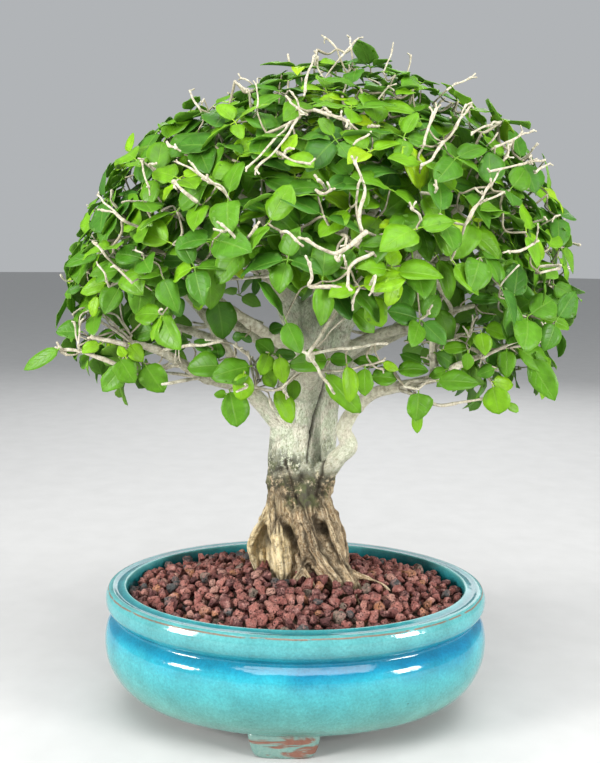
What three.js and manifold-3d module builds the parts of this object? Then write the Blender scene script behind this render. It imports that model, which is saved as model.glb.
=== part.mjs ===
// Parrots beak bonsai: a small-leaved tree trained as a dome, growing in an oval glazed pot.
// Millimetres, +Z up. The origin lies on the table under the middle of the pot, and -Y is the front.
import * as THREE from 'three';
import { mergeVertices } from 'three/addons/utils/BufferGeometryUtils.js';
import Module from 'manifold-3d';

const wasm = await Module();
wasm.setup();

// Gap kept where one piece rests against another
const SEAT_GAP = 0.35;

// Pot
const RIM_HALF_LENGTH = 129;
const RIM_HALF_WIDTH = 100;
const BASE_HEIGHT = 10.5;
const FLOOR_HEIGHT = 18;
const POT_SIDES = 44;
const FOOT_DEPTH = 15;
const FOOT_TOP_WIDTH = 46;
const FOOT_BOTTOM_WIDTH = 37;
const FOOT_TOP_HEIGHT = 17;
const DRAIN_RADIUS = 8;
const DRAIN_OFFSET = 50;

// Where the oval stops being an even band round the rim and shrinks towards its middle
const OVAL_CORE = 60;

// The pot's upright axis, as an offset from the rim line
const AXIS = -RIM_HALF_LENGTH;

// Outer wall from the base to the lip, as [offset from the rim line, height]
const OUTER_WALL = [
  [-34, BASE_HEIGHT], [-19, 13.5], [-7, 22.5], [0, 35], [2.2, 48], [0.4, 60],
  [-4.6, 66.5], [-1.5, 70.5], [1, 75], [1, 81], [-0.8, 85],
];
const OUTER_WALL_STEPS = 14;

// Lip and inner wall from the rim down to the floor
const LIP = [[-6.5, 85.2], [-11.5, 86.2], [-12.8, 84.5]];
const INNER_BELLY_HEIGHT = 47;
const INNER_WALL = [
  [-13.2, 78], [-12.6, 68], [-8, 57], [-6, INNER_BELLY_HEIGHT], [-8.2, 34], [-15.5, 23], [-32, FLOOR_HEIGHT],
];

// Feet, front, right, back and left: how far each stands in from the rim line, its turn in degrees
// and how far it is off its middle line. The front foot was set a little to the left.
const FEET = [
  { rim: RIM_HALF_WIDTH, inset: 15.5, turn: 0, shift: -6 },
  { rim: RIM_HALF_LENGTH, inset: 44, turn: 90, shift: 0 },
  { rim: RIM_HALF_WIDTH, inset: 15.5, turn: 180, shift: 0 },
  { rim: RIM_HALF_LENGTH, inset: 44, turn: 270, shift: 0 },
];

// Drainage screens
const SCREEN_SIDE = 26;
const SCREEN_THICKNESS = 1;
const SCREEN_CELLS = 3;
const SCREEN_BAR = 2.2;

// Soil and gravel
const SOIL_TOP = 71;
const GRAVEL_EDGE = 77.5;
const GRAVEL_RISE = 16;
const GRAVEL_RINGS = 6;
const GRAVEL_BUMP = 1.3;

// Trunk with its second stem, and the roots that hold it, as [x, y, z, radius]
const TRUNK = [
  [10, 16, 58, 19], [10, 16, 84, 22], [5, 19, 108, 22.5], [1, 20, 131, 22.5], [-1, 20, 153, 20.5],
  [-1, 20, 175, 19], [1, 20, 205, 18], [5, 19, 232, 17.5], [10, 18, 258, 17], [12, 18, 274, 12],
];
const SECOND_STEM = [
  [17, 25, 142, 9], [19, 27, 185, 9], [21, 26, 215, 8.5], [26, 24, 248, 8.5], [30, 21, 268, 8],
];
const ROOTS = [
  [[2, 10, 142, 13], [10, 3, 116, 14], [24, -3, 96, 12], [36, -6, 82, 8], [46, -9, 70, 4]],
  [[12, 20, 144, 11], [22, 21, 122, 10.5], [27, 20, 104, 10.5], [30, 22, 86, 9], [34, 24, 70, 6]],
  [[-8, 14, 138, 12], [-9, 10, 112, 12], [-6, 5, 94, 12], [-5, 1, 78, 9], [-5, -2, 66, 6]],
  [[-12, 18, 140, 6], [-21, 16, 129, 5], [-24.5, 14, 112, 4.4], [-25, 12, 94, 4.2], [-25, 10, 70, 3.6]],
  [[6, 30, 126, 13], [4, 42, 100, 10], [2, 54, 82, 7], [0, 62, 68, 4]],
  [[-8, 28, 118, 10], [-20, 38, 96, 7.5], [-28, 46, 80, 5], [-33, 52, 66, 3]],
];

// Main branches, each starting inside the wood that carries it, as [x, y, z, radius]
const BRANCHES = [
  [[-8, 16, 192, 9], [-22, 10, 206, 6.4], [-36, 0, 221, 5], [-60, -22, 231, 4], [-88, -40, 250, 3],
    [-108, -50, 257, 2]],
  [[-36, 0, 221, 4.4], [-42, 4, 236, 3.6], [-62, 16, 264, 2.8], [-82, 28, 285, 2]],
  [[4, 14, 238, 7], [-6, 6, 248, 5.2], [-24, -14, 261, 4.2], [-48, -36, 280, 3], [-63, -56, 295, 2]],
  [[-8, 20, 280, 6], [-21, 4, 296, 4.4], [-48, -20, 313, 3.2], [-68, -34, 330, 2]],
  [[4, 18, 256, 12], [-8, 21, 280, 8.5], [-12, 24, 313, 6.4], [-18, 24, 350, 4.6], [-28, 20, 384, 3]],
  [[12, 18, 262, 12], [20, 14, 287, 8], [26, 10, 320, 6], [30, 6, 353, 4.4], [28, 4, 390, 3]],
  [[30, 21, 262, 8], [42, 15, 282, 6.4], [66, 2, 298, 5.2], [86, -14, 324, 4], [102, -28, 342, 2.4]],
  [[66, 2, 298, 4.6], [50, -20, 318, 3.4], [38, -38, 338, 2.6], [34, -50, 352, 1.8]],
  [[16, 12, 156, 8], [29, -3, 176, 6], [35, -6, 183, 6.4], [31, -8, 195, 5.2], [46, -19, 219, 4.4],
    [66, -32, 228, 3.6], [89, -46, 236, 2.6]],
  [[86, -44, 236, 3], [86, -38, 260, 2.8], [98, -32, 276, 2.4], [112, -28, 280, 1.8]],
  [[84, -43, 234, 2.8], [102, -44, 244, 2.5], [116, -42, 250, 1.8]],
  [[14, 26, 218, 7], [40, 50, 236, 5.2], [68, 68, 250, 4], [92, 78, 258, 2.6]],
  [[0, 28, 226, 7], [-24, 54, 246, 5], [-54, 74, 260, 3.8], [-76, 84, 268, 2.4]],
  [[10, 28, 250, 7], [14, 54, 276, 5], [14, 78, 296, 3.8], [12, 92, 308, 2.4]],
  [[22, 14, 298, 5], [44, 42, 330, 3.8], [58, 58, 348, 2.4]],
  [[-12, 24, 318, 4.6], [-32, 48, 342, 3.4], [-44, 60, 352, 2.2]],
  [[6, 8, 222, 6], [10, -24, 238, 4.2], [8, -58, 248, 3.2], [6, -84, 254, 2]],
  [[22, 12, 300, 5], [16, -24, 322, 3.8], [4, -50, 336, 2.6]],
  [[62, 4, 296, 4.6], [90, 26, 306, 3.2], [112, 36, 312, 2.2]],
  [[-50, 10, 250, 3.4], [-82, 32, 258, 2.8], [-106, 44, 262, 2]],
  [[26, 20, 240, 6], [58, 30, 256, 4.4], [90, 34, 262, 3], [112, 34, 262, 2]],
];
const TRUNK_SIDES = 14;
const ROOT_SIDES = 8;
const BRANCH_SIDES = 6;
const FLUTE_COUNT = 5;
const FLUTE_DEPTH = 0.05;

// Branchlets that carry the shoots
const BRANCHLET_SIDES = 5;
const BRANCHLET_RADII = [2.2, 1.8, 1.5];
const BRANCHLET_STRAIGHT_END = 14;

// Dome of foliage: its depth as a share of its length, and the middle that its shoots spread from
const DOME_DEPTH_RATIO = 0.83;
const DOME_HUB = [8, 12];

// Rings of leafy shoots. Their tips end at a height, on an oval with its middle and half length along
// X. rise is how far they climb from the hub, turn is the first azimuth in degrees and step the way to
// the next. The low ring is open at the back. The shoots leave the wood at their reach on that way.
const SHOOT_RINGS = [
  { name: 'low', count: 8, height: 226, middle: -6, half: 176, rise: -14, turn: 161, step: 30 },
  { name: 'skirt', count: 12, height: 268, middle: 11, half: 170, rise: 22, turn: 23, step: 30 },
  { name: 'shoulder', count: 10, height: 322, middle: 14, half: 163, rise: 50, turn: 0, step: 36 },
  { name: 'upper', count: 8, height: 380, middle: 21, half: 131, rise: 78, turn: 24, step: 45 },
  { name: 'crown', count: 4, height: 428, middle: 31, half: 58, rise: 104, turn: 50, step: 90 },
  { name: 'top', count: 1, height: 446, middle: 30, half: 0, rise: 104, turn: 0, step: 0 },
];
const SHOOT_REACH = { low: 0.64, skirt: 0.64, shoulder: 0.64, upper: 0.62, crown: 0.55, top: 0.5 };

// Leaves, and the twig of a shoot, which are thin all over
const LEAF_LENGTH = 25;
const LEAF_WIDTH = 15.5;
const LEAF_STALK_WIDTH = 1.8;
const LEAF_ANGLE = 62;
const LEAF_DROOP = 0.28;
const LEAF_PAIR_STEPS = [8, 26];
const TWIG_WIDTH = 2.4;
const SHOOT_THICKNESS = 1.2;
const LEAF_CLEARANCE = 1;
const LEAF_GROWTH = 1.06;
const SHOOT_ROLL = 22;

const UP = new THREE.Vector3(0, 0, 1);

function toRadians(degrees) {
  return THREE.MathUtils.degToRad(degrees);
}

// Closed geometry to a solid. A shell that was drawn inside out is turned to face outwards.
function solid(geometry) {
  const bare = geometry.clone();
  bare.deleteAttribute('normal');
  bare.deleteAttribute('uv');
  const merged = mergeVertices(bare, 1e-4);
  const vertProperties = new Float32Array(merged.attributes.position.array);
  const triVerts = new Uint32Array(merged.index.array);
  const shell = new wasm.Manifold(new wasm.Mesh({ numProp: 3, vertProperties, triVerts }));
  if (shell.volume() > 0) {
    return shell;
  }
  for (let first = 0; first < triVerts.length; first += 3) {
    const second = triVerts[first + 1];
    triVerts[first + 1] = triVerts[first + 2];
    triVerts[first + 2] = second;
  }
  return new wasm.Manifold(new wasm.Mesh({ numProp: 3, vertProperties, triVerts }));
}

function joined(solids) {
  return solids.reduce((whole, next) => whole.add(next));
}

function mesh(name, body, material) {
  const { numProp, vertProperties, triVerts } = body.getMesh();
  const geometry = new THREE.BufferGeometry();
  const vertices = new THREE.InterleavedBuffer(vertProperties, numProp);
  geometry.setAttribute('position', new THREE.InterleavedBufferAttribute(vertices, 3, 0));
  geometry.setIndex(new THREE.BufferAttribute(triVerts, 1));
  const piece = new THREE.Mesh(geometry, new THREE.MeshStandardMaterial({ ...material, flatShading: true }));
  piece.name = name;
  return piece;
}

// A profile of [offset from the rim line, height], spun and then pressed into the pot's oval
function ovalGeometry(profile) {
  const outline = profile.map(([offset, height]) => new THREE.Vector2(Math.max(offset - AXIS, 0), height));
  const geometry = new THREE.LatheGeometry(outline, POT_SIDES);
  geometry.rotateX(Math.PI / 2);
  const position = geometry.attributes.position;
  const flank = RIM_HALF_LENGTH - RIM_HALF_WIDTH;
  for (let i = 0; i < position.count; i += 1) {
    const radius = Math.hypot(position.getX(i), position.getY(i));
    if (radius > 0) {
      const narrowed = radius >= OVAL_CORE ? radius - flank : radius * (1 - flank / OVAL_CORE);
      position.setY(i, position.getY(i) * narrowed / radius);
    }
  }
  return geometry;
}

function smoothWall(points, steps) {
  const curve = new THREE.SplineCurve(points.map(([offset, height]) => new THREE.Vector2(offset, height)));
  return curve.getPoints(steps).map((point) => [point.x, point.y]);
}

// One foot: a slab that widens upwards into the base
function potFoot() {
  const outline = new THREE.Shape();
  outline.moveTo(-FOOT_BOTTOM_WIDTH / 2, 0);
  outline.lineTo(FOOT_BOTTOM_WIDTH / 2, 0);
  outline.quadraticCurveTo(FOOT_TOP_WIDTH / 2 - 1, 2, FOOT_TOP_WIDTH / 2, FOOT_TOP_HEIGHT);
  outline.lineTo(-FOOT_TOP_WIDTH / 2, FOOT_TOP_HEIGHT);
  outline.quadraticCurveTo(1 - FOOT_TOP_WIDTH / 2, 2, -FOOT_BOTTOM_WIDTH / 2, 0);
  const options = { depth: FOOT_DEPTH, bevelEnabled: false, curveSegments: 4 };
  const geometry = new THREE.ExtrudeGeometry(outline, options);
  geometry.rotateX(Math.PI / 2);
  return geometry;
}

function pot() {
  const wall = smoothWall(OUTER_WALL, OUTER_WALL_STEPS);
  const profile = [[AXIS, BASE_HEIGHT], ...wall, ...LIP, ...INNER_WALL, [AXIS, FLOOR_HEIGHT]];
  let body = solid(ovalGeometry(profile));
  for (const { rim, inset, turn, shift } of FEET) {
    const foot = potFoot();
    foot.translate(shift, inset - rim + FOOT_DEPTH, 0);
    foot.rotateZ(toRadians(turn));
    body = body.add(solid(foot));
  }
  for (const side of [-1, 1]) {
    const drill = new THREE.CylinderGeometry(DRAIN_RADIUS, DRAIN_RADIUS, FLOOR_HEIGHT, 20);
    drill.rotateX(Math.PI / 2);
    drill.translate(side * DRAIN_OFFSET, 0, (BASE_HEIGHT + FLOOR_HEIGHT) / 2);
    body = body.subtract(solid(drill));
  }
  return body;
}

// A square of plastic mesh over a drainage hole, as bars that cross each other
function drainageScreen(side) {
  const pitch = (SCREEN_SIDE - SCREEN_BAR) / SCREEN_CELLS;
  const bars = [];
  for (let i = 0; i <= SCREEN_CELLS; i += 1) {
    const offset = (i - SCREEN_CELLS / 2) * pitch;
    const lengthways = new THREE.BoxGeometry(SCREEN_SIDE, SCREEN_BAR, SCREEN_THICKNESS);
    lengthways.translate(0, offset, 0);
    const crossways = new THREE.BoxGeometry(SCREEN_BAR, SCREEN_SIDE, SCREEN_THICKNESS);
    crossways.translate(offset, 0, 0);
    bars.push(lengthways, crossways);
  }
  for (const bar of bars) {
    bar.translate(side * DRAIN_OFFSET, 0, FLOOR_HEIGHT + SEAT_GAP + SCREEN_THICKNESS / 2);
  }
  return joined(bars.map(solid));
}

function offsetAt(wall, height) {
  const above = Math.max(wall.findIndex(([, level]) => level >= height), 1);
  const [lowOffset, low] = wall[above - 1];
  const [highOffset, high] = wall[above];
  return THREE.MathUtils.lerp(lowOffset, highOffset, (height - low) / (high - low));
}

// The edge of what fills the pot between two heights: the inner wall, drawn in by the seat gap,
// also towards the belly's height, because the wall slopes below it and overhangs above it
function fillEdge(bottom, top) {
  const wall = INNER_WALL.map(([offset, height]) => (
    [offset - SEAT_GAP, height + SEAT_GAP * Math.sign(INNER_BELLY_HEIGHT - height)]
  )).reverse();
  const between = wall.filter(([, height]) => height > bottom && height < top);
  return [[offsetAt(wall, bottom), bottom], ...between, [offsetAt(wall, top), top]];
}

function pottingSoil(wood) {
  const bottom = FLOOR_HEIGHT + SEAT_GAP;
  const profile = [[AXIS, bottom], ...fillEdge(bottom, SOIL_TOP), [AXIS, SOIL_TOP]];
  let body = solid(ovalGeometry(profile)).subtract(wood);
  const room = SCREEN_SIDE + 2 * SEAT_GAP;
  const depth = 2 * (SCREEN_THICKNESS + SEAT_GAP);
  for (const side of [-1, 1]) {
    const pocket = new THREE.BoxGeometry(room, room, depth);
    pocket.translate(side * DRAIN_OFFSET, 0, bottom);
    body = body.subtract(solid(pocket));
  }
  return body;
}

// Top dressing: one mounded layer with a bumpy top
function lavaGravel(wood) {
  const bottom = SOIL_TOP + SEAT_GAP;
  const edge = fillEdge(bottom, GRAVEL_EDGE);
  const inset = edge[edge.length - 1][0];
  const top = [];
  for (let ring = 1; ring <= GRAVEL_RINGS; ring += 1) {
    const share = ring / GRAVEL_RINGS;
    const offset = THREE.MathUtils.lerp(inset, AXIS, share);
    top.push([offset, GRAVEL_EDGE + GRAVEL_RISE * Math.sin(share * Math.PI / 2)]);
  }
  const geometry = ovalGeometry([[AXIS, bottom], ...edge, ...top]);
  const position = geometry.attributes.position;
  for (let i = 0; i < position.count; i += 1) {
    if (position.getZ(i) > GRAVEL_EDGE + GRAVEL_BUMP) {
      const bump = Math.sin(position.getX(i) * 0.53 + 1.7 * Math.sin(position.getY(i) * 0.37));
      position.setZ(i, position.getZ(i) + GRAVEL_BUMP * bump);
    }
  }
  return solid(geometry).subtract(wood);
}

function smoothCurve(points) {
  const knots = points.map(([x, y, z]) => new THREE.Vector3(x, y, z));
  return new THREE.CatmullRomCurve3(knots, false, 'centripetal');
}

// A round limb of wood along a smooth curve through [x, y, z, radius].
// grow widens it, and flute is the depth of the grooves along it as a share of its radius.
function limb(points, { sides, grow = 0, flute = 0 }) {
  const curve = smoothCurve(points);
  const steps = points.length - 1;
  const rings = [];
  let side = new THREE.Vector3(1, 0, 0);
  for (let ring = 0; ring <= steps; ring += 1) {
    const along = curve.getTangent(ring / steps);
    side = side.clone().addScaledVector(along, -side.dot(along)).normalize();
    const beyond = ring === 0 ? -grow : grow * (ring === steps);
    const centre = curve.getPoint(ring / steps).addScaledVector(along, beyond);
    rings.push({ centre, side, across: along.clone().cross(side), radius: points[ring][3] });
  }
  const geometry = new THREE.CylinderGeometry(1, 1, 1, sides, steps);
  const position = geometry.attributes.position;
  for (let i = 0; i < position.count; i += 1) {
    const ring = rings[Math.round((position.getY(i) + 0.5) * steps)];
    const angle = Math.atan2(position.getZ(i), position.getX(i));
    const width = ring.radius * (1 + flute * Math.cos(FLUTE_COUNT * angle)) + grow;
    const place = ring.centre.clone();
    place.addScaledVector(ring.side, position.getX(i) * width);
    place.addScaledVector(ring.across, position.getZ(i) * width);
    position.setXYZ(i, place.x, place.y, place.z);
  }
  return solid(geometry);
}

// Trunk and roots, grown by a gap where soil and gravel are packed round them
function trunkAndRoots(grow) {
  const trunk = limb(TRUNK, { sides: TRUNK_SIDES, grow, flute: FLUTE_DEPTH });
  const roots = ROOTS.map((root) => limb(root, { sides: ROOT_SIDES, grow }));
  return joined([trunk, ...roots]);
}

function ringTip({ height, middle, half }, azimuth) {
  const x = middle + half * Math.cos(azimuth);
  const y = half * DOME_DEPTH_RATIO * Math.sin(azimuth);
  return new THREE.Vector3(x, y, height);
}

// The point of the main branches that a branchlet to this seat grows from
function nearestWood(seat) {
  let nearest = null;
  let nearestCost = Infinity;
  for (const branch of BRANCHES) {
    for (const [x, y, z] of branch.slice(1)) {
      const point = new THREE.Vector3(x, y, z);
      const cost = point.distanceTo(seat) + Math.max(z - seat.z, 0);
      if (cost < nearestCost) {
        nearest = point;
        nearestCost = cost;
      }
    }
  }
  return nearest;
}

// Where every shoot leaves the wood, and the branchlet that carries it
function shootSeats() {
  const seats = [];
  for (const ring of SHOOT_RINGS) {
    const { name, count, height, rise, turn, step } = ring;
    for (let i = 0; i < count; i += 1) {
      const tip = ringTip(ring, toRadians(turn + i * step));
      const hub = new THREE.Vector3(DOME_HUB[0], DOME_HUB[1], height - rise);
      const seat = hub.clone().lerp(tip, SHOOT_REACH[name]);
      const heading = tip.clone().sub(seat).normalize();
      const start = nearestWood(seat);
      const straight = Math.min(BRANCHLET_STRAIGHT_END, start.distanceTo(seat) / 2);
      const elbow = seat.clone().addScaledVector(heading, -straight);
      const branchlet = [start, elbow, seat].map((point, j) => [...point, BRANCHLET_RADII[j]]);
      const roll = toRadians(i % 2 === 0 ? SHOOT_ROLL : -SHOOT_ROLL);
      const number = String(i + 1).padStart(2, '0');
      seats.push({ name: `leafy_shoot_${name}_${number}`, seat, tip, branchlet, roll });
    }
  }
  return seats;
}

function treeWood(seats) {
  const stem = limb(SECOND_STEM, { sides: ROOT_SIDES });
  const branches = BRANCHES.map((branch) => limb(branch, { sides: BRANCH_SIDES }));
  const branchlets = seats.map(({ branchlet }) => limb(branchlet, { sides: BRANCHLET_SIDES }));
  return joined([trunkAndRoots(0), stem, ...branches, ...branchlets]);
}

// The leaves of a shoot in the order of its outline: up the right side, the end leaf, down the left
function shootLeaves(twigLength) {
  const heights = LEAF_PAIR_STEPS.map((step) => twigLength - step);
  const onSide = (side) => heights.map((height) => ({ side, height }));
  return [...onSide(1).reverse(), { side: 0, height: twigLength }, ...onSide(-1)];
}

// Outline of one leaf in the shoot's flat frame, in which +Y runs up the twig
function leafOutline({ side, height }, growth = 1) {
  const blade = [
    [LEAF_STALK_WIDTH / 2, 0], [LEAF_WIDTH * 0.46, 0.28], [LEAF_WIDTH * 0.4, 0.62], [0, 1],
    [-LEAF_WIDTH * 0.4, 0.62], [-LEAF_WIDTH * 0.46, 0.28], [-LEAF_STALK_WIDTH / 2, 0],
  ];
  const foot = new THREE.Vector2(side * TWIG_WIDTH / 2, height);
  return blade.map(([across, along]) => {
    const point = new THREE.Vector2(across, along * LEAF_LENGTH).multiplyScalar(growth);
    return point.rotateAround(new THREE.Vector2(), -side * toRadians(LEAF_ANGLE)).add(foot);
  });
}

function shootOutline(twigLength, leaves) {
  const half = TWIG_WIDTH / 2;
  const onSide = (side) => leaves.filter((leaf) => leaf.side === side).flatMap((leaf) => leafOutline(leaf));
  return [
    new THREE.Vector2(half, 0), ...onSide(1), new THREE.Vector2(half, twigLength), ...onSide(0).slice(1, -1),
    new THREE.Vector2(-half, twigLength), ...onSide(-1), new THREE.Vector2(-half, 0),
  ];
}

// An outline as a thin plate whose leaves droop away from the twig
function droopedPlate(points, thickness, frame) {
  const outline = new THREE.Shape(points);
  const geometry = new THREE.ExtrudeGeometry(outline, { depth: thickness, bevelEnabled: false });
  geometry.translate(0, 0, -thickness / 2);
  const position = geometry.attributes.position;
  for (let i = 0; i < position.count; i += 1) {
    position.setZ(i, position.getZ(i) - LEAF_DROOP * Math.abs(position.getX(i)));
  }
  geometry.applyMatrix4(frame);
  return solid(geometry);
}

// Where a shoot stands on its branchlet's end: +Y up the twig, +Z the upper faces of its leaves
function shootFrame({ branchlet, seat, tip, roll }) {
  const heading = smoothCurve(branchlet).getTangent(1);
  const face = UP.clone().addScaledVector(heading, -UP.dot(heading)).normalize();
  face.applyAxisAngle(heading, roll);
  const foot = seat.clone().addScaledVector(heading, SEAT_GAP);
  const frame = new THREE.Matrix4().makeBasis(heading.clone().cross(face), heading, face).setPosition(foot);
  return { frame, twigLength: seat.distanceTo(tip) - LEAF_LENGTH };
}

function boxesMeet(a, b) {
  return [0, 1, 2].every((axis) => a.min[axis] <= b.max[axis] && b.min[axis] <= a.max[axis]);
}

function isClear(body, others) {
  const box = body.boundingBox();
  const near = others.filter((other) => boxesMeet(box, other.boundingBox()));
  return near.every((other) => body.intersect(other).isEmpty());
}

// All shoots. A leaf that would touch wood, another twig or a leaf already grown is left off.
function growShoots(seats, wood) {
  const frames = seats.map(shootFrame);
  const twigs = frames.map(({ frame, twigLength }) => (
    droopedPlate(shootOutline(twigLength, []), SHOOT_THICKNESS + LEAF_CLEARANCE, frame)
  ));
  const clearThickness = SHOOT_THICKNESS + 2 * LEAF_CLEARANCE;
  const grown = [];
  frames.forEach(({ frame, twigLength }, i) => {
    const others = [wood, ...twigs.filter((twig, j) => j !== i), ...grown];
    const leaves = shootLeaves(twigLength).filter((leaf) => (
      isClear(droopedPlate(leafOutline(leaf, LEAF_GROWTH), clearThickness, frame), others)
    ));
    grown.push(droopedPlate(shootOutline(twigLength, leaves), SHOOT_THICKNESS, frame));
  });
  return grown;
}

const GLAZE = { color: 0x3fb6bf, roughness: 0.12, metalness: 0 };
const SCREEN_PLASTIC = { color: 0x1b1d1c, roughness: 0.55, metalness: 0 };
const SOIL = { color: 0x4a3a2c, roughness: 0.95, metalness: 0 };
const LAVA = { color: 0x7b4038, roughness: 0.9, metalness: 0 };
const BARK = { color: 0xa59c86, roughness: 0.85, metalness: 0 };
const LEAF = { color: 0x4f9a34, roughness: 0.5, metalness: 0 };

const bonsai = new THREE.Group();
const seats = shootSeats();
const plantedWood = trunkAndRoots(SEAT_GAP);
const wood = treeWood(seats);

bonsai.add(mesh('pot', pot(), GLAZE));
bonsai.add(mesh('drainage_screen_left', drainageScreen(-1), SCREEN_PLASTIC));
bonsai.add(mesh('drainage_screen_right', drainageScreen(1), SCREEN_PLASTIC));
bonsai.add(mesh('potting_soil', pottingSoil(plantedWood), SOIL));
bonsai.add(mesh('lava_gravel', lavaGravel(plantedWood), LAVA));
bonsai.add(mesh('tree_wood', wood, BARK));

growShoots(seats, wood).forEach((shoot, i) => {
  bonsai.add(mesh(seats[i].name, shoot, LEAF));
});

export default bonsai;
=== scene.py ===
"""Parrots beak bonsai in an oval glazed pot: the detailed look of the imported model."""

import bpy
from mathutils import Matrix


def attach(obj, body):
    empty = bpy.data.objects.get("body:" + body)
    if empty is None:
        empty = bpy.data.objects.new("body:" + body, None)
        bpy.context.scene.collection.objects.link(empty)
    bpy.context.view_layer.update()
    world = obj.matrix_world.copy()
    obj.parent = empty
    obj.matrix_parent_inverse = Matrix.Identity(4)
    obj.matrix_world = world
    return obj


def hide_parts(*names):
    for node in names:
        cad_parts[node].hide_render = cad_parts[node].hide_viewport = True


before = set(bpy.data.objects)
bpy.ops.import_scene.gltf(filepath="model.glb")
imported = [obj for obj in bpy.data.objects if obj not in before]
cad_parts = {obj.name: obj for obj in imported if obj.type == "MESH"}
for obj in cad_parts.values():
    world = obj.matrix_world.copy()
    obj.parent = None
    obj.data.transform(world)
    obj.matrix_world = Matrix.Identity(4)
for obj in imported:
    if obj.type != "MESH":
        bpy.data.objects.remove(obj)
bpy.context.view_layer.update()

import itertools
import math

import bmesh
import bpy
import numpy as np
from mathutils import Matrix, Vector
from mathutils.kdtree import KDTree

MM = 0.001
rng = np.random.default_rng(41)
# A whole turn in radians for random draws, and a distance past everything
FULL_TURN = 6.28
FAR = 1e9

# Camera, at the photograph's viewing angle
CAMERA_PLACE = (1.4, -667.0, 320.0)
CAMERA_PITCH = math.radians(-8.04)
CAMERA_ROLL = math.radians(0.66)
FOCAL_PIXELS = 1000.0
PICTURE = (600, 763)

# Pot, in millimetres: outlines are offset from the rim line and height
RIM_HALF_LENGTH = 129.0
FLANK = 29.0
OVAL_CORE = 60.0
BASE_HEIGHT = 10.5
FLOOR_HEIGHT = 18.0
OUTER_WALL = [
    (-34, 10.5), (-19, 13.5), (-7, 22.5), (0, 35), (2.2, 48), (0.4, 60),
    (-4.6, 66.5), (-1.5, 70.5), (1, 75), (1, 81), (-0.8, 85),
]
LIP = [
    (-0.8, 85), (-3.4, 85.9), (-6.5, 85.2), (-9.4, 85.7), (-11.5, 86.2), (-12.6, 85.6), (-12.8, 84.5),
]
INNER_WALL = [
    (-12.8, 84.5), (-13.2, 78), (-12.6, 68), (-8, 57), (-6, 47), (-8.2, 34), (-15.5, 23), (-32, 18),
]
# Middle of each foot and the degrees that it is turned
FEET = [(-6, -77, 0), (77.5, 0, 90), (0, 77, 180), (-77.5, 0, 270)]
DRAIN_RADIUS = 8.0
DRAIN_OFFSET = 50.0
GRAVEL_EDGE = 79.3
GRAVEL_RISE = 14.2

# Wood, as [x, y, z, radius] along each limb
TRUNK = [
    (10, 16, 58, 19), (10, 16, 84, 22), (5, 19, 108, 22.5), (1, 20, 131, 22.5), (-1, 20, 153, 20.5),
    (-1, 20, 175, 19), (1, 20, 205, 18), (5, 19, 232, 17.5), (10, 18, 258, 17), (12, 18, 274, 12),
]
SECOND_STEM = [(17, 25, 142, 9), (19, 27, 185, 9), (21, 26, 215, 8.5), (26, 24, 248, 8.5), (30, 21, 268, 8)]
ROOTS = [
    [(2, 10, 142, 13), (10, 3, 116, 14), (24, -3, 96, 12), (36, -6, 82, 8), (46, -9, 70, 4)],
    [(12, 20, 144, 11), (22, 21, 122, 10.5), (27, 20, 104, 10.5), (30, 22, 86, 9), (34, 24, 70, 6)],
    [(-8, 14, 138, 12), (-9, 10, 112, 12), (-6, 5, 94, 12), (-5, 1, 78, 9), (-5, -2, 66, 6)],
    [(-12, 18, 140, 6), (-21, 16, 129, 5), (-24.5, 14, 112, 4.4), (-25, 12, 94, 4.2), (-25, 10, 70, 3.6)],
    [(6, 30, 126, 13), (4, 42, 100, 10), (2, 54, 82, 7), (0, 62, 68, 4)],
    [(-8, 28, 118, 10), (-20, 38, 96, 7.5), (-28, 46, 80, 5), (-33, 52, 66, 3)],
]
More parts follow.
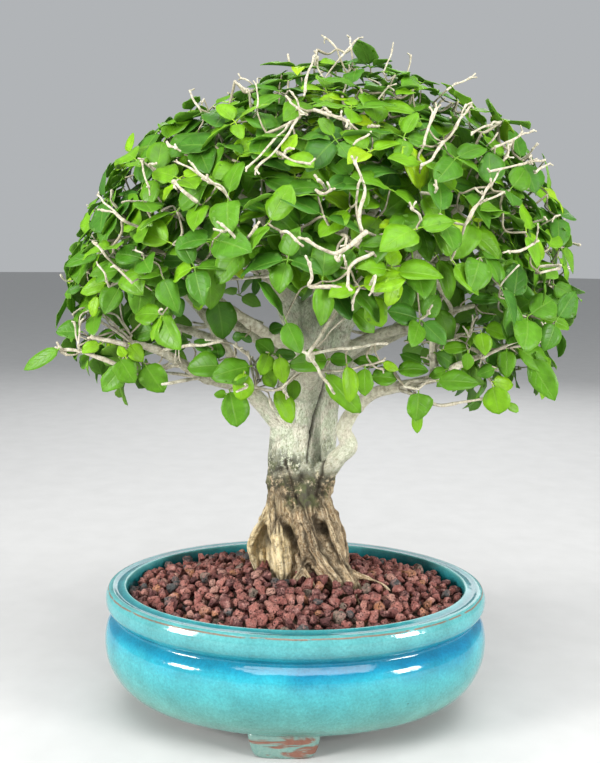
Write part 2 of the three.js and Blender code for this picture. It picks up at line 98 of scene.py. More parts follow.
BRANCHES = [
    [(-8, 16, 192, 9), (-22, 10, 206, 6.4), (-36, 0, 221, 5), (-60, -22, 231, 4), (-88, -40, 250, 3),
     (-108, -50, 257, 2)],
    [(-36, 0, 221, 4.4), (-42, 4, 236, 3.6), (-62, 16, 264, 2.8), (-82, 28, 285, 2)],
    [(4, 14, 238, 7), (-6, 6, 248, 5.2), (-24, -14, 261, 4.2), (-48, -36, 280, 3), (-63, -56, 295, 2)],
    [(-8, 20, 280, 6), (-21, 4, 296, 4.4), (-48, -20, 313, 3.2), (-68, -34, 330, 2)],
    [(4, 18, 256, 12), (-8, 21, 280, 8.5), (-12, 24, 313, 6.4), (-18, 24, 350, 4.6), (-28, 20, 384, 3)],
    [(12, 18, 262, 12), (20, 14, 287, 8), (26, 10, 320, 6), (30, 6, 353, 4.4), (28, 4, 390, 3)],
    [(30, 21, 262, 8), (42, 15, 282, 6.4), (66, 2, 298, 5.2), (86, -14, 324, 4), (102, -28, 342, 2.4)],
    [(66, 2, 298, 4.6), (50, -20, 318, 3.4), (38, -38, 338, 2.6), (34, -50, 352, 1.8)],
    [(16, 12, 156, 8), (29, -3, 176, 6), (35, -6, 183, 6.4), (31, -8, 195, 5.2), (46, -19, 219, 4.4),
     (66, -32, 228, 3.6), (89, -46, 236, 2.6)],
    [(86, -44, 236, 3), (86, -38, 260, 2.8), (98, -32, 276, 2.4), (112, -28, 280, 1.8)],
    [(84, -43, 234, 2.8), (102, -44, 244, 2.5), (116, -42, 250, 1.8)],
    [(14, 26, 218, 7), (40, 50, 236, 5.2), (68, 68, 250, 4), (92, 78, 258, 2.6)],
    [(0, 28, 226, 7), (-24, 54, 246, 5), (-54, 74, 260, 3.8), (-76, 84, 268, 2.4)],
    [(10, 28, 250, 7), (14, 54, 276, 5), (14, 78, 296, 3.8), (12, 92, 308, 2.4)],
    [(22, 14, 298, 5), (44, 42, 330, 3.8), (58, 58, 348, 2.4)],
    [(-12, 24, 318, 4.6), (-32, 48, 342, 3.4), (-44, 60, 352, 2.2)],
    [(6, 8, 222, 6), (10, -24, 238, 4.2), (8, -58, 248, 3.2), (6, -84, 254, 2)],
    [(22, 12, 300, 5), (16, -24, 322, 3.8), (4, -50, 336, 2.6)],
    [(62, 4, 296, 4.6), (90, 26, 306, 3.2), (112, 36, 312, 2.2)],
    [(-50, 10, 250, 3.4), (-82, 32, 258, 2.8), (-106, 44, 262, 2)],
    [(26, 20, 240, 6), (58, 30, 256, 4.4), (90, 34, 262, 3), (112, 34, 262, 2)],
]
BRANCHLET_RADII = (2.2, 1.8, 1.5)
# A branchlet's longest straight end
LONGEST_STRAIGHT = 14
SHORTEST_TWIG = 0.6
DOME_DEPTH_RATIO = 0.83
DOME_HUB = (8, 12)

# Rings of leafy shoots: name, count, height of the tips, middle and half length of their oval,
# rise from the hub, share of the way where they leave the wood, first azimuth and step
SHOOT_RINGS = [
    ("low", 8, 226, -4, 174, -14, 0.64, 161, 30),
    ("skirt", 12, 268, 11, 170, 22, 0.64, 23, 30),
    ("shoulder", 10, 322, 14, 163, 50, 0.64, 0, 36),
    ("upper", 8, 380, 21, 131, 78, 0.62, 24, 45),
    ("crown", 4, 428, 31, 58, 104, 0.55, 50, 90),
    ("top", 1, 446, 30, 0, 104, 0.5, 0, 0),
]

# Outline of the foliage seen from the front: height, left edge, right edge
CANOPY = [
    (232, -138, 172), (245, -152, 180), (262, -158, 182), (290, -156, 181), (310, -154, 179),
    (330, -146, 176), (350, -135, 170), (370, -121, 160), (390, -102, 142), (405, -75, 121),
    (420, -45, 100), (432, -15, 78), (440, 5, 58), (446, 20, 36),
]
# Lowest height where the dome's front is looked for, and the share given to places past its top
DOME_BOTTOM = 205
FAR_OUTSIDE = 9.0


# Mesh helpers, in millimetres
HASH_PRIMES = (73856093, 19349663, 83492791)
HASH_SEED = 2654435
HASH_MIX = 1274126177


def noise(points, seed=0):
    """Smooth noise from -1 to 1, about one unit from bump to bump."""
    points = np.asarray(points, float)
    cell = np.floor(points).astype(np.int64)
    part = points - cell
    part = part * part * (3 - 2 * part)
    total = np.zeros(len(points))
    for corner in range(8):
        bits = np.array([corner & 1, corner >> 1 & 1, corner >> 2 & 1])
        key = (cell + bits) * HASH_PRIMES
        mix = key[:, 0] ^ key[:, 1] ^ key[:, 2] ^ (seed * HASH_SEED)
        mix = (mix ^ (mix >> 13)) * HASH_MIX
        mix = mix ^ (mix >> 16)
        value = (mix & 0xFFFF) / 32767.5 - 1
        total += value * np.prod(np.where(bits, part, 1 - part), axis=1)
    return total


def noise_along(way, lane, seed):
    """Noise along a line, where each lane has its own."""
    return noise(np.stack([way, 0 * way + lane, 0 * way], 1), seed)


def unit(vectors):
    vectors = np.asarray(vectors, float)
    length = np.linalg.norm(vectors, axis=-1, keepdims=True)
    return vectors / np.maximum(length, 1e-9)


def path_length(path):
    """How far along a path each of its points lies."""
    return np.r_[0, np.cumsum(np.linalg.norm(np.diff(path, axis=0), axis=1))]


def circle(sides):
    """Angles evenly round a circle."""
    return np.linspace(0, 2 * np.pi, sides, endpoint=False)


class Mesh:
    """Collects points, faces and marks on the points, and makes one object of them.

    A face of three corners has -1 as its fourth. Paint is the number of a face's material.
    """

    def __init__(self):
        self.points = []
        self.faces = []
        self.paints = []
        self.marks = {}
        self.count = 0

    def add(self, points, faces, paint=0, **marks):
        points = np.asarray(points, float)
        faces = np.asarray(faces, np.int64)
        self.faces.append(np.where(faces >= 0, faces + self.count, -1))
        self.paints.append(paint)
        for name, values in marks.items():
            values = np.broadcast_to(np.asarray(values, float), (len(points),))
            self.marks.setdefault(name, []).append((self.count, values))
        self.points.append(points)
        self.count += len(points)

    def face_paints(self):
        paints = [np.full(len(faces), paint) for faces, paint in zip(self.faces, self.paints)]
        return np.concatenate(paints).astype(np.int32)

    def make(self, name, smooth=True):
        points = np.vstack(self.points) * MM
        faces = np.vstack(self.faces)
        mesh = bpy.data.meshes.new(name)
        mesh.vertices.add(len(points))
        mesh.vertices.foreach_set("co", points.astype(np.float32).ravel())
        used = faces >= 0
        sizes = used.sum(1)
        mesh.loops.add(int(sizes.sum()))
        mesh.loops.foreach_set("vertex_index", faces[used].astype(np.int32))
        mesh.polygons.add(len(faces))
        mesh.polygons.foreach_set("loop_start", np.r_[0, np.cumsum(sizes)[:-1]].astype(np.int32))
        mesh.polygons.foreach_set("use_smooth", np.full(len(faces), smooth))
        mesh.update(calc_edges=True)
        for mark, parts in self.marks.items():
            values = np.zeros(len(points))
            for start, part in parts:
                values[start:start + len(part)] = part
            add_mark(mesh, mark, values)
        item = bpy.data.objects.new(name, mesh)
        bpy.context.scene.collection.objects.link(item)
        return item


def add_mark(mesh, name, values):
    """A number on each point, which a material reads by its name."""
    mesh.attributes.new(name, "FLOAT", "POINT").data.foreach_set("value", values.astype(np.float32))


def strand(knots, step=2.0):
    """Places and radii along a smooth curve through [x, y, z, radius] knots."""
    knots = np.array(knots, float)
    ends = np.vstack([2 * knots[0] - knots[1], knots, 2 * knots[-1] - knots[-2]])
    out = []
    for i in range(len(knots) - 1):
        a, b, c, d = ends[i:i + 4]
        ab, bc, cd = (max(np.linalg.norm((q - p)[:3]), 1e-3) ** 0.5 for p, q in ((a, b), (b, c), (c, d)))
        leave = ((b - a) / ab - (c - a) / (ab + bc) + (c - b) / bc) * bc
        arrive = ((c - b) / bc - (d - b) / (bc + cd) + (d - c) / cd) * bc
        count = max(2, math.ceil(np.linalg.norm((c - b)[:3]) / step))
        t = (np.arange(count) / count)[:, None]
        row = (2 * t**3 - 3 * t**2 + 1) * b + (t**3 - 2 * t**2 + t) * leave
        row += (3 * t**2 - 2 * t**3) * c + (t**3 - t**2) * arrive
        row[:, 3] = b[3] + (c[3] - b[3]) * t[:, 0]
        out.append(row)
    rows = np.vstack([*out, knots[-1:]])
    return rows[:, :3], rows[:, 3]


def frames(path):
    """Tangent, side and across at each place of a path, turning as little as possible."""
    tangent = unit(np.gradient(path, axis=0))
    side = np.zeros_like(path)
    start = np.cross(tangent[0], (0.0, 0.0, 1.0))
    if np.linalg.norm(start) < 0.2:
        start = np.cross(tangent[0], (0.0, 1.0, 0.0))
    side[0] = unit(start)
    for i in range(1, len(path)):
        side[i] = unit(side[i - 1] - tangent[i] * np.dot(side[i - 1], tangent[i]))
    return tangent, side, np.cross(tangent, side)


def grid_faces(rows, columns, closed=True):
    """Faces between rows of points, where closed joins the last column to the first."""
    r = np.arange(rows - 1)[:, None]
    c = np.arange(columns if closed else columns - 1)[None, :]
    n = (c + 1) % columns
    corners = (r * columns + c, r * columns + n, (r + 1) * columns + n, (r + 1) * columns + c)
    return np.stack(corners, -1).reshape(-1, 4)


def capped_faces(rows, sides):
    """Faces between rings of points, closed at both ends by two tips, which are the last points."""
    here = np.arange(sides)
    after = (here + 1) % sides
    last = (rows - 1) * sides
    none = np.full(sides, -1)
    low = np.stack([after, here, np.full(sides, rows * sides), none], 1)
    high = np.stack([last + here, last + after, np.full(sides, rows * sides + 1), none], 1)
    return np.vstack([grid_faces(rows, sides), low, high])


# The round end of a tube, in shares of its radius: a last ring past the end, and a tip past that
END_RING_PAST = 0.55
END_RING_RADIUS = 0.62
END_TIP_PAST = 0.3


def tube(path, radii, sides):
    """Closed tube with rounded ends: points and faces."""
    tangent, side, across = frames(path)
    starts = path[0] - tangent[0] * radii[0] * END_RING_PAST
    ends = path[-1] + tangent[-1] * radii[-1] * END_RING_PAST
    rows = [(starts, side[0], across[0], radii[0] * END_RING_RADIUS)]
    rows += zip(path, side, across, radii)
    rows.append((ends, side[-1], across[-1], radii[-1] * END_RING_RADIUS))
    ring = np.stack([np.cos(circle(sides)), np.sin(circle(sides))], 1)
    points = [c + r * (ring[:, :1] * s + ring[:, 1:] * a) for c, s, a, r in rows]
    tips = [starts - tangent[0] * radii[0] * END_TIP_PAST, ends + tangent[-1] * radii[-1] * END_TIP_PAST]
    return np.vstack([*points, tips]), capped_faces(len(rows), sides)


def apply_modifiers(item):
    bpy.context.view_layer.update()
    shaped = item.evaluated_get(bpy.context.evaluated_depsgraph_get())
    mesh = bpy.data.meshes.new_from_object(shaped)
    item.modifiers.clear()
    item.data = mesh


def join(item, other):
    with bpy.context.temp_override(active_object=item, selected_editable_objects=[item, other]):
        bpy.ops.object.join()


# Material helpers
class Value:
    """What a node gives out. Plus, minus, times and abs of values make Math nodes."""

    def __init__(self, socket):
        self.socket = socket

    def __add__(self, other):
        return maths("ADD", self, other)

    def __sub__(self, other):
        return maths("SUBTRACT", self, other)

    def __rsub__(self, other):
        return maths("SUBTRACT", other, self)

    def __mul__(self, other):
        return maths("MULTIPLY", self, other)

    def __truediv__(self, other):
        return maths("DIVIDE", self, other)

    def __abs__(self):
        return maths("ABSOLUTE", self)

    def clamped(self):
        """The same value, kept between 0 and 1 by the Math node that gives it."""
        self.socket.node.use_clamp = True
        return self


def maths(operation, *values):
    tree = next(value.socket.id_data for value in values if isinstance(value, Value))
    return Value(node(tree, "Math", dict(enumerate(values)), operation=operation).outputs[0])


def node(tree, kind, inputs=None, **settings):
    """A new node. Its settings come before its inputs, because they choose its sockets."""
    made = tree.nodes.new("ShaderNode" + kind)
    for key, value in settings.items():
        setattr(made, key, value)
    for key, value in (inputs or {}).items():
        if isinstance(value, Value):
            tree.links.new(value.socket, made.inputs[key])
        else:
            made.inputs[key].default_value = value
    return made


class Paint:
    """A material in the making, with a short method for each kind of node that it uses."""

    # Nearly all of a noise texture lies between these
    CLOUD_LOW, CLOUD_HIGH = 0.3, 0.7
    # The Mix node's share and two colours, and the colour that it gives out
    MIX_INPUTS, MIX_OUTPUT = (0, 6, 7), 2

    def __init__(self, name):
        self.material = bpy.data.materials.new(name)
        self.material.use_nodes = True
        self.tree = self.material.node_tree
        self.shader = self.tree.nodes["Principled BSDF"]

    def value(self, kind, inputs=None, output=0, **settings):
        return Value(node(self.tree, kind, inputs, **settings).outputs[output])

    def mark(self, name):
        return self.value("Attribute", output="Fac", attribute_name=name)

    def coordinates(self):
        return self.value("TexCoord", output="Object")

    def place(self, scale=(1, 1, 1), turn=(0, 0, 0)):
        return self.value("Mapping", {"Vector": self.coordinates(), "Scale": scale, "Rotation": turn})

    def clouds(self, vector, scale, detail=3.0, rough=0.55, distortion=0.0):
        names = ("Vector", "Scale", "Detail", "Roughness", "Distortion")
        values = (vector, scale, detail, rough, distortion)
        return self.value("TexNoise", dict(zip(names, values)), "Fac")

    def dots(self, vector, scale, channel):
        """How far the nearest of many scattered dots is, and a random number for that dot."""
        made = node(self.tree, "TexVoronoi", {"Vector": vector, "Scale": scale, "Randomness": 1.0})
        number = self.value("SeparateColor", {0: Value(made.outputs["Color"])}, channel)
        return Value(made.outputs["Distance"]), number

    def step(self, value, low, high):
        """0 below low, 1 above high, smooth between."""
        inputs = {0: value, 1: low, 2: high, 3: 0.0, 4: 1.0}
        return self.value("MapRange", inputs, interpolation_type="SMOOTHSTEP")

    def spread(self, cloud, low, high):
        """A cloud's values brought to the range from low to high."""
        return self.value("MapRange", {0: cloud, 1: self.CLOUD_LOW, 2: self.CLOUD_HIGH, 3: low, 4: high})

    def ramp(self, value, stops):
        made = node(self.tree, "ValToRGB", {"Fac": value})
        elements = made.color_ramp.elements
        while len(elements) < len(stops):
            elements.new(1)
        for element, (position, colour) in zip(elements, stops):
            element.position = position
            element.color = (*colour, 1)
        return Value(made.outputs[0])

    def mix(self, share, first, second, blend="MIX"):
        colours = [colour if isinstance(colour, Value) else (*colour, 1) for colour in (first, second)]
        inputs = dict(zip(self.MIX_INPUTS, (share, *colours)))
        return self.value("Mix", inputs, self.MIX_OUTPUT, data_type="RGBA", blend_type=blend)

    def shade(self, colour, light):
        """The colour made lighter or darker by a number."""
        grey = self.value("CombineColor", {0: light, 1: light, 2: light})
        return self.mix(1.0, colour, grey, "MULTIPLY")

    def finish(self, colour, relief, depth, strength, **inputs):
        """Colour, bump of a depth in metres, and other inputs of the shader."""
        bump = self.value("Bump", {"Height": relief, "Distance": depth, "Strength": strength})
        inputs = {"Base_Color": colour, "Normal": bump, **inputs}
        for name, value in inputs.items():
            socket = self.shader.inputs[name.replace("_", " ")]
            if isinstance(value, Value):
                self.tree.links.new(value.socket, socket)
            else:
                socket.default_value = value
        return self.material


def dress(item, material):
    item.data.materials.clear()
    item.data.materials.append(material)


# Pot
BASE_INSETS = (14, 30, 46, 60, 72, 84)
FLOOR_INSETS = (84, 66, 50, 34, 16)
WALL_STEPS = 96
LIP_STEPS = 22
INNER_STEPS = 34
POT_SIDES = 216
WALL_UNEVENNESS = 0.35
WALL_WAVE = 34
DRILL_SIDES = 40
DRILL_LENGTH = 20
DRILL_HEIGHT = 14.3
FOOT_HEIGHTS = (0, 0.25, 0.8, 1.6, 2.6, 4, 6, 8, 10, 12, 14, 16.8)
FOOT_SIDES = 64
FOOT_HALF_WIDTH = 18.6
FOOT_FLARE = 4.4
FOOT_FLARE_END = 17
FOOT_ROUND_X, FOOT_ROUND_Y = 2.6, 1.4
FOOT_HALF_DEPTH = 7.5
FOOT_CORNER = 0.42
FOOT_UNEVENNESS = 0.22
# The glaze's mark is the way along the profile in steps of this many millimetres
GLAZE_UNIT = 400


def spline(points, count):
    """Smooth line through the points, as in the part's own wall."""
    points = np.array(points, float)
    spans = len(points) - 1
    out = []
    for k in range(count + 1):
        at = k / count * spans
        i = min(int(at), spans - 1)
        w = at - i
        a, b, c, d = points[max(i - 1, 0)], points[i], points[i + 1], points[min(i + 2, spans)]
        leave, arrive = (c - a) / 2, (d - b) / 2
        cubic = 2 * b - 2 * c + leave + arrive
        square = 3 * c - 3 * b - 2 * leave - arrive
        out.append(cubic * w**3 + square * w**2 + leave * w + b)
    return np.array(out)


def oval_depth(radius):
    """Half the oval's depth, where its half length is the radius."""
    return np.where(radius >= OVAL_CORE, radius - FLANK, radius * (1 - FLANK / OVAL_CORE))


def oval(radius, turn, z):
    """Points of the pot's oval, whose radius is measured along X."""
    return np.stack(np.broadcast_arrays(radius * np.cos(turn), oval_depth(radius) * np.sin(turn), z), -1)


def oval_radius(x, y):
    """Which oval of the pot a place lies on, found by halving the range."""
    low, high = np.zeros_like(x), np.full_like(x, 200.0)
    for _ in range(40):
        middle = (low + high) / 2
        across = np.maximum(oval_depth(middle), 1e-6)
        inside = (x / np.maximum(middle, 1e-6)) ** 2 + (y / across) ** 2 < 1
        low, high = np.where(inside, low, middle), np.where(inside, middle, high)
    return low


def pot_profile():
    base = [(inset - RIM_HALF_LENGTH, BASE_HEIGHT) for inset in BASE_INSETS]
    floor = [(inset - RIM_HALF_LENGTH, FLOOR_HEIGHT) for inset in FLOOR_INSETS]
    lip, inner = spline(LIP, LIP_STEPS)[1:], spline(INNER_WALL, INNER_STEPS)[1:]
    return np.vstack([base, spline(OUTER_WALL, WALL_STEPS), lip, inner, floor])


PROFILE = pot_profile()
ALONG = path_length(PROFILE)
WALL_START = len(BASE_INSETS)
RIM_START = WALL_START + WALL_STEPS
LIP_END = RIM_START + LIP_STEPS


def make_pot():
    turn = circle(POT_SIDES)
    radius = PROFILE[:, 0] + RIM_HALF_LENGTH
    points = np.array([oval(r, turn, z) for r, z in zip(radius, PROFILE[:, 1])])
    # Hand-thrown unevenness of the outer wall
    outside = np.zeros(len(PROFILE))
    outside[WALL_START:RIM_START] = WALL_UNEVENNESS
    wave = noise(points.reshape(-1, 3) / WALL_WAVE, 5).reshape(points.shape[:2])
    outward = np.stack([np.cos(turn), np.sin(turn), 0 * turn], 1)
    points += outward[None] * (wave * outside[:, None])[..., None]
    tips = [[0, 0, BASE_HEIGHT], [0, 0, FLOOR_HEIGHT]]
    along = np.r_[np.repeat(ALONG, POT_SIDES), 0, ALONG[-1] + FLOOR_INSETS[-1]]
    body = Mesh()
    faces = capped_faces(len(points), POT_SIDES)
    body.add(np.vstack([points.reshape(-1, 3), tips]), faces, along=along / GLAZE_UNIT)
    pot = body.make("glazed_pot")

    for x in (-DRAIN_OFFSET, DRAIN_OFFSET):
        spot = Vector((x, 0, DRILL_HEIGHT)) * MM
        bpy.ops.mesh.primitive_cylinder_add(
            vertices=DRILL_SIDES, radius=DRAIN_RADIUS * MM, depth=DRILL_LENGTH * MM, location=spot
        )
        drill = bpy.context.object
        cut = pot.modifiers.new("drain", "BOOLEAN")
        cut.object = drill
        cut.solver = "EXACT"
        apply_modifiers(pot)
        bpy.data.objects.remove(drill)

    feet = Mesh()
    for x, y, degrees in FEET:
        points, faces = foot()
        around = np.array(Matrix.Rotation(math.radians(degrees), 3, "Z"))
        feet.add(points @ around.T + (x, y, 0), faces, along=0.0, foot=1.0)
    join(pot, feet.make("pot_feet"))
    return pot


def foot():
    """One foot of the pot: a slab with rounded corners that widens upwards."""
    angle = circle(FOOT_SIDES)
    x, y = (np.sign(way) * np.abs(way) ** FOOT_CORNER for way in (np.cos(angle), np.sin(angle)))
    rows = []
    for z in FOOT_HEIGHTS:
        flare = FOOT_FLARE * (1 - (1 - z / FOOT_FLARE_END) ** 1.8)
        half_width = FOOT_HALF_WIDTH + flare - FOOT_ROUND_X * math.exp(-z * 0.75)
        half_depth = FOOT_HALF_DEPTH - FOOT_ROUND_Y * math.exp(-z * 0.9)
        rows.append(np.stack([x * half_width, y * half_depth, np.full_like(x, z)], 1))
    points = np.vstack(rows)
    points[:, :2] += noise(points / 7, 3)[:, None] * FOOT_UNEVENNESS
    points = np.vstack([points, [[0, 0, 0], [0, 0, FOOT_HEIGHTS[-1]]]])
    return points, capped_faces(len(FOOT_HEIGHTS), FOOT_SIDES)


def along_at(height):
    """How far along the profile the outer wall reaches a height, as the glaze's mark measures it."""
    wall = slice(WALL_START, RIM_START + 1)
    return float(np.interp(height, PROFILE[wall, 1], ALONG[wall])) / GLAZE_UNIT


def glaze_material():
    paint = Paint("glaze")
    along = paint.mark("along")
    here = paint.place()
    drift = (paint.clouds(here, 26, 3, 0.55) - 0.5) * 0.030
    ripple = (paint.clouds(here, 160, 4, 0.6) - 0.5) * 0.006
    wandering = along + drift + ripple
    colour = paint.ramp(wandering, [
        (0.0, (0.16, 0.12, 0.09)),
        (along_at(10.6), (0.20, 0.30, 0.27)),
        (along_at(13), (0.20, 0.42, 0.38)),
        (along_at(24), (0.100, 0.300, 0.258)),
        (along_at(36), (0.070, 0.292, 0.282)),
        (along_at(46), (0.048, 0.296, 0.318)),
        (along_at(53), (0.044, 0.312, 0.352)),
        (along_at(59), (0.020, 0.290, 0.375)),
        (along_at(63), (0.003, 0.185, 0.290)),
        (along_at(67), (0.002, 0.170, 0.265)),
        (along_at(70), (0.020, 0.240, 0.305)),
        (along_at(74), (0.060, 0.285, 0.310)),
        (along_at(82), (0.080, 0.305, 0.315)),
    ])
    # The deep blue pools more in some places than in others
    pool = paint.step(paint.clouds(paint.place((1, 1, 0.25)), 15, 2, 0.5), 0.42, 0.62)
    near = (1.0 - abs(wandering - along_at(63.5)) * 24.0).clamped()
    colour = paint.mix(pool * (near * 0.75), colour, (0.001, 0.125, 0.250))
    # Lip: teal middle, lighter inner edge, darker inside
    top = ALONG[RIM_START] / GLAZE_UNIT
    end = ALONG[LIP_END] / GLAZE_UNIT
    lip = paint.ramp(along + ripple, [
        (top, (0.07, 0.33, 0.35)),
        (top + 0.004, (0.10, 0.33, 0.32)),
        (top + 0.0105, (0.010, 0.16, 0.19)),
        (top + 0.019, (0.008, 0.15, 0.18)),
        (top + 0.026, (0.04, 0.26, 0.28)),
        (top + 0.031, (0.11, 0.34, 0.32)),
        (end, (0.04, 0.25, 0.27)),
        (end + 0.012, (0.01, 0.17, 0.20)),
        (end + 0.05, (0.02, 0.10, 0.11)),
    ])
    colour = paint.mix(paint.step(along, top - 0.0035, top + 0.0005), colour, lip)
    # Brown line where the glaze ran thin over the rim's outer edge
    wobble = (paint.clouds(here, 55, 3) - 0.5) * 0.0045
    off = abs(along + wobble - (top - 0.001))
    broken = paint.step(paint.clouds(here, 120, 3), 0.30, 0.50)
    line = (1.0 - paint.step(off, 0.0006, 0.0022)) * broken
    colour = paint.mix(line * 0.85, colour, (0.19, 0.095, 0.05))
    # Fine mottling, and small pinholes that are dented and painted dark as the shade inside them
    mottle = paint.spread(paint.clouds(here, 620, 4, 0.7), 0.80, 1.16)
    broad = paint.spread(paint.clouds(here, 60, 3), 0.84, 1.14)
    colour = paint.shade(colour, mottle * broad)
    distance, number = paint.dots(here, 85.0, 0)
    pinhole_dent_and_shade = (1.0 - paint.step(distance, 0.025, 0.05)) * paint.step(number, 0.62, 0.64)
    colour = paint.mix(pinhole_dent_and_shade * 0.75, colour, (0.02, 0.06, 0.07))
    # Feet: thin pale glaze with bare red-brown clay showing through in streaks
    slanted = paint.place((26, 26, 120), (0, math.radians(18), 0))
    bare = paint.step(paint.clouds(slanted, 1.0, 4, 0.6, 0.6), 0.50, 0.58)
    speck = paint.clouds(here, 420, 4)
    clay = paint.mix(speck, (0.12, 0.045, 0.030), (0.24, 0.11, 0.075))
    thin = paint.mix(speck, (0.07, 0.19, 0.18), (0.22, 0.32, 0.27))
    is_foot = paint.mark("foot")
    worn = bare * is_foot
    colour = paint.mix(is_foot, colour, paint.mix(bare, thin, clay))
    # The glaze is duller low on the wall, and dullest on the bare clay
    low = 1.0 - paint.step(along, along_at(11), along_at(22))
    rough = (paint.spread(paint.clouds(here, 90, 3), 0.07, 0.15) + low * 0.18 + worn * 0.45).clamped()
    # Throwing lines round the wall, faint ripples in the glaze, dents at the pinholes
    lines = paint.clouds(paint.place((6, 6, 620)), 1.0, 2, 0.5)
    relief = lines * 0.35 + paint.clouds(here, 95, 2, 0.5) - pinhole_dent_and_shade * 0.8 - worn * (speck + 0.6)
    return paint.finish(colour, relief, 0.00045, 0.55, Roughness=rough, IOR=1.52)


# Gravel
MOUND_INSET = 13.5
WALL_THICKNESS = 13.6
STONE_GAP = 3.2
WOOD_GAP = 2.6
# Stones on top and under them: spacing, depth of their middles, level of roundness, most stones, radii
STONE_LAYERS = [(6.3, 0.4, 3, 1000, (2.7, 5.2)), (6.2, 5.4, 2, 900, (3.0, 4.6))]
TRIES_FOR_EACH = 60
BIG_SHARE, BIG_SIZE = 0.15, 1.15
LIFTS = (-1.5, 1.7)
# How a stone is cut and pitted, as shares of its radius
STONE_CUTS = 9
CUT_REACH = (0.38, 0.72)
BREADTHS, HEIGHTS = (0.62, 1.0), (0.55, 0.9)
LUMP_DEPTHS = (0.16, 0.13)
PIT_DEPTH = 0.22
# Only wood below this height can touch a stone, and so many places are measured at a time
GRAVEL_WOOD_TOP = 120
MEASURED_AT_ONCE = 4000


def gravel_height(x, y):
    share = np.clip(1 - oval_radius(x, y) / (RIM_HALF_LENGTH - MOUND_INSET), 0, 1)
    return GRAVEL_EDGE + GRAVEL_RISE * np.sin(share * np.pi / 2)


def icosphere(level):
    work = bmesh.new()
    bmesh.ops.create_icosphere(work, subdivisions=level, radius=1)
    points = np.array([v.co for v in work.verts])
    faces = np.array([[*(v.index for v in f.verts), -1] for f in work.faces])
    work.free()
    return points, faces


def keep_apart(places, spacing, count, taken=()):
    """The first places, up to a count, that keep the spacing from each other and from those taken."""
    cells = {}
    kept = []

    def key(place):
        return tuple(np.floor(np.asarray(place) / spacing).astype(int))

    def near(cell):
        for step in itertools.product((-1, 0, 1), repeat=len(cell)):
            yield from cells.get(tuple(a + b for a, b in zip(cell, step)), ())

    for place in taken:
        cells.setdefault(key(place), []).append(place)
    for place in places:
        cell = key(place)
        if all(np.dot(place - other, place - other) >= spacing * spacing for other in near(cell)):
            cells.setdefault(cell, []).append(place)
            kept.append(place)
            if len(kept) == count:
                break
    return kept


def stone(base, seed):
    """A lump of lava: cut by a few planes, pitted, and turned any way."""
    shape = base * np.array([1.0, rng.uniform(*BREADTHS), rng.uniform(*HEIGHTS)])
    for _ in range(STONE_CUTS):
        way = unit(rng.normal(size=3))
        over = np.maximum(shape @ way - rng.uniform(*CUT_REACH), 0)
        shape = shape - over[:, None] * way
    coarse, fine = noise(base * 1.7 + seed, seed % 97), noise(base * 4.3 + seed, seed % 89)
    shape = shape * (1.08 + (coarse * LUMP_DEPTHS[0] + fine * LUMP_DEPTHS[1]))[:, None]
    pits = noise(base * 7.0 + 3 * seed, seed % 71)
    shape = shape * (1 - PIT_DEPTH * np.clip(pits - 0.1, 0, 1))[:, None]
    turn = np.array(Matrix.Rotation(rng.uniform(0, FULL_TURN), 3, Vector(unit(rng.normal(size=3)))))
    return shape @ turn.T


def make_gravel(wood_rows):
    """Stones on top, shared between two pieces, and coarser ones under them."""
    limit = RIM_HALF_LENGTH - WALL_THICKNESS - STONE_GAP
    top, more, under = Mesh(), Mesh(), Mesh()
    for meshes, (spacing, depth, level, count, radii) in zip(((top, more), (under, under)), STONE_LAYERS):
        base, faces = icosphere(level)
        x, y = (rng.uniform(-limit, limit, count * TRIES_FOR_EACH) for _ in range(2))
        free = wood_distance(np.stack([x, y, gravel_height(x, y) - 1.0], 1), wood_rows) >= WOOD_GAP
        places = np.stack([x, y], 1)[(oval_radius(x, y) < limit) & free]
        spots = np.array(keep_apart(places, spacing, count))
        ground = gravel_height(spots[:, 0], spots[:, 1])
        for i, ((x, y), z) in enumerate(zip(spots, ground)):
            radius = rng.uniform(*radii) * (BIG_SIZE if rng.random() < BIG_SHARE else 1)
            body = stone(base, i + 11) * radius
            lift = rng.uniform(*LIFTS) - depth
            meshes[i % 2].add(body + (x, y, z + lift), faces, tone=rng.random(), kind=rng.random())
    return top.make("lava_stones_top"), more.make("lava_stones_more"), under.make("lava_stones_under")


def wood_distance(spots, wood_rows):
    """How far each place is from the surface of the lower wood, negative inside it."""
    rows = wood_rows[wood_rows[:, 2] < GRAVEL_WOOD_TOP]
    out = []
    for start in range(0, len(spots), MEASURED_AT_ONCE):
        part = spots[start:start + MEASURED_AT_ONCE]
        away = np.linalg.norm(part[:, None] - rows[None, :, PLACE], axis=2) - rows[None, :, RADIUS]
        out.append(away.min(1))
    return np.concatenate(out)


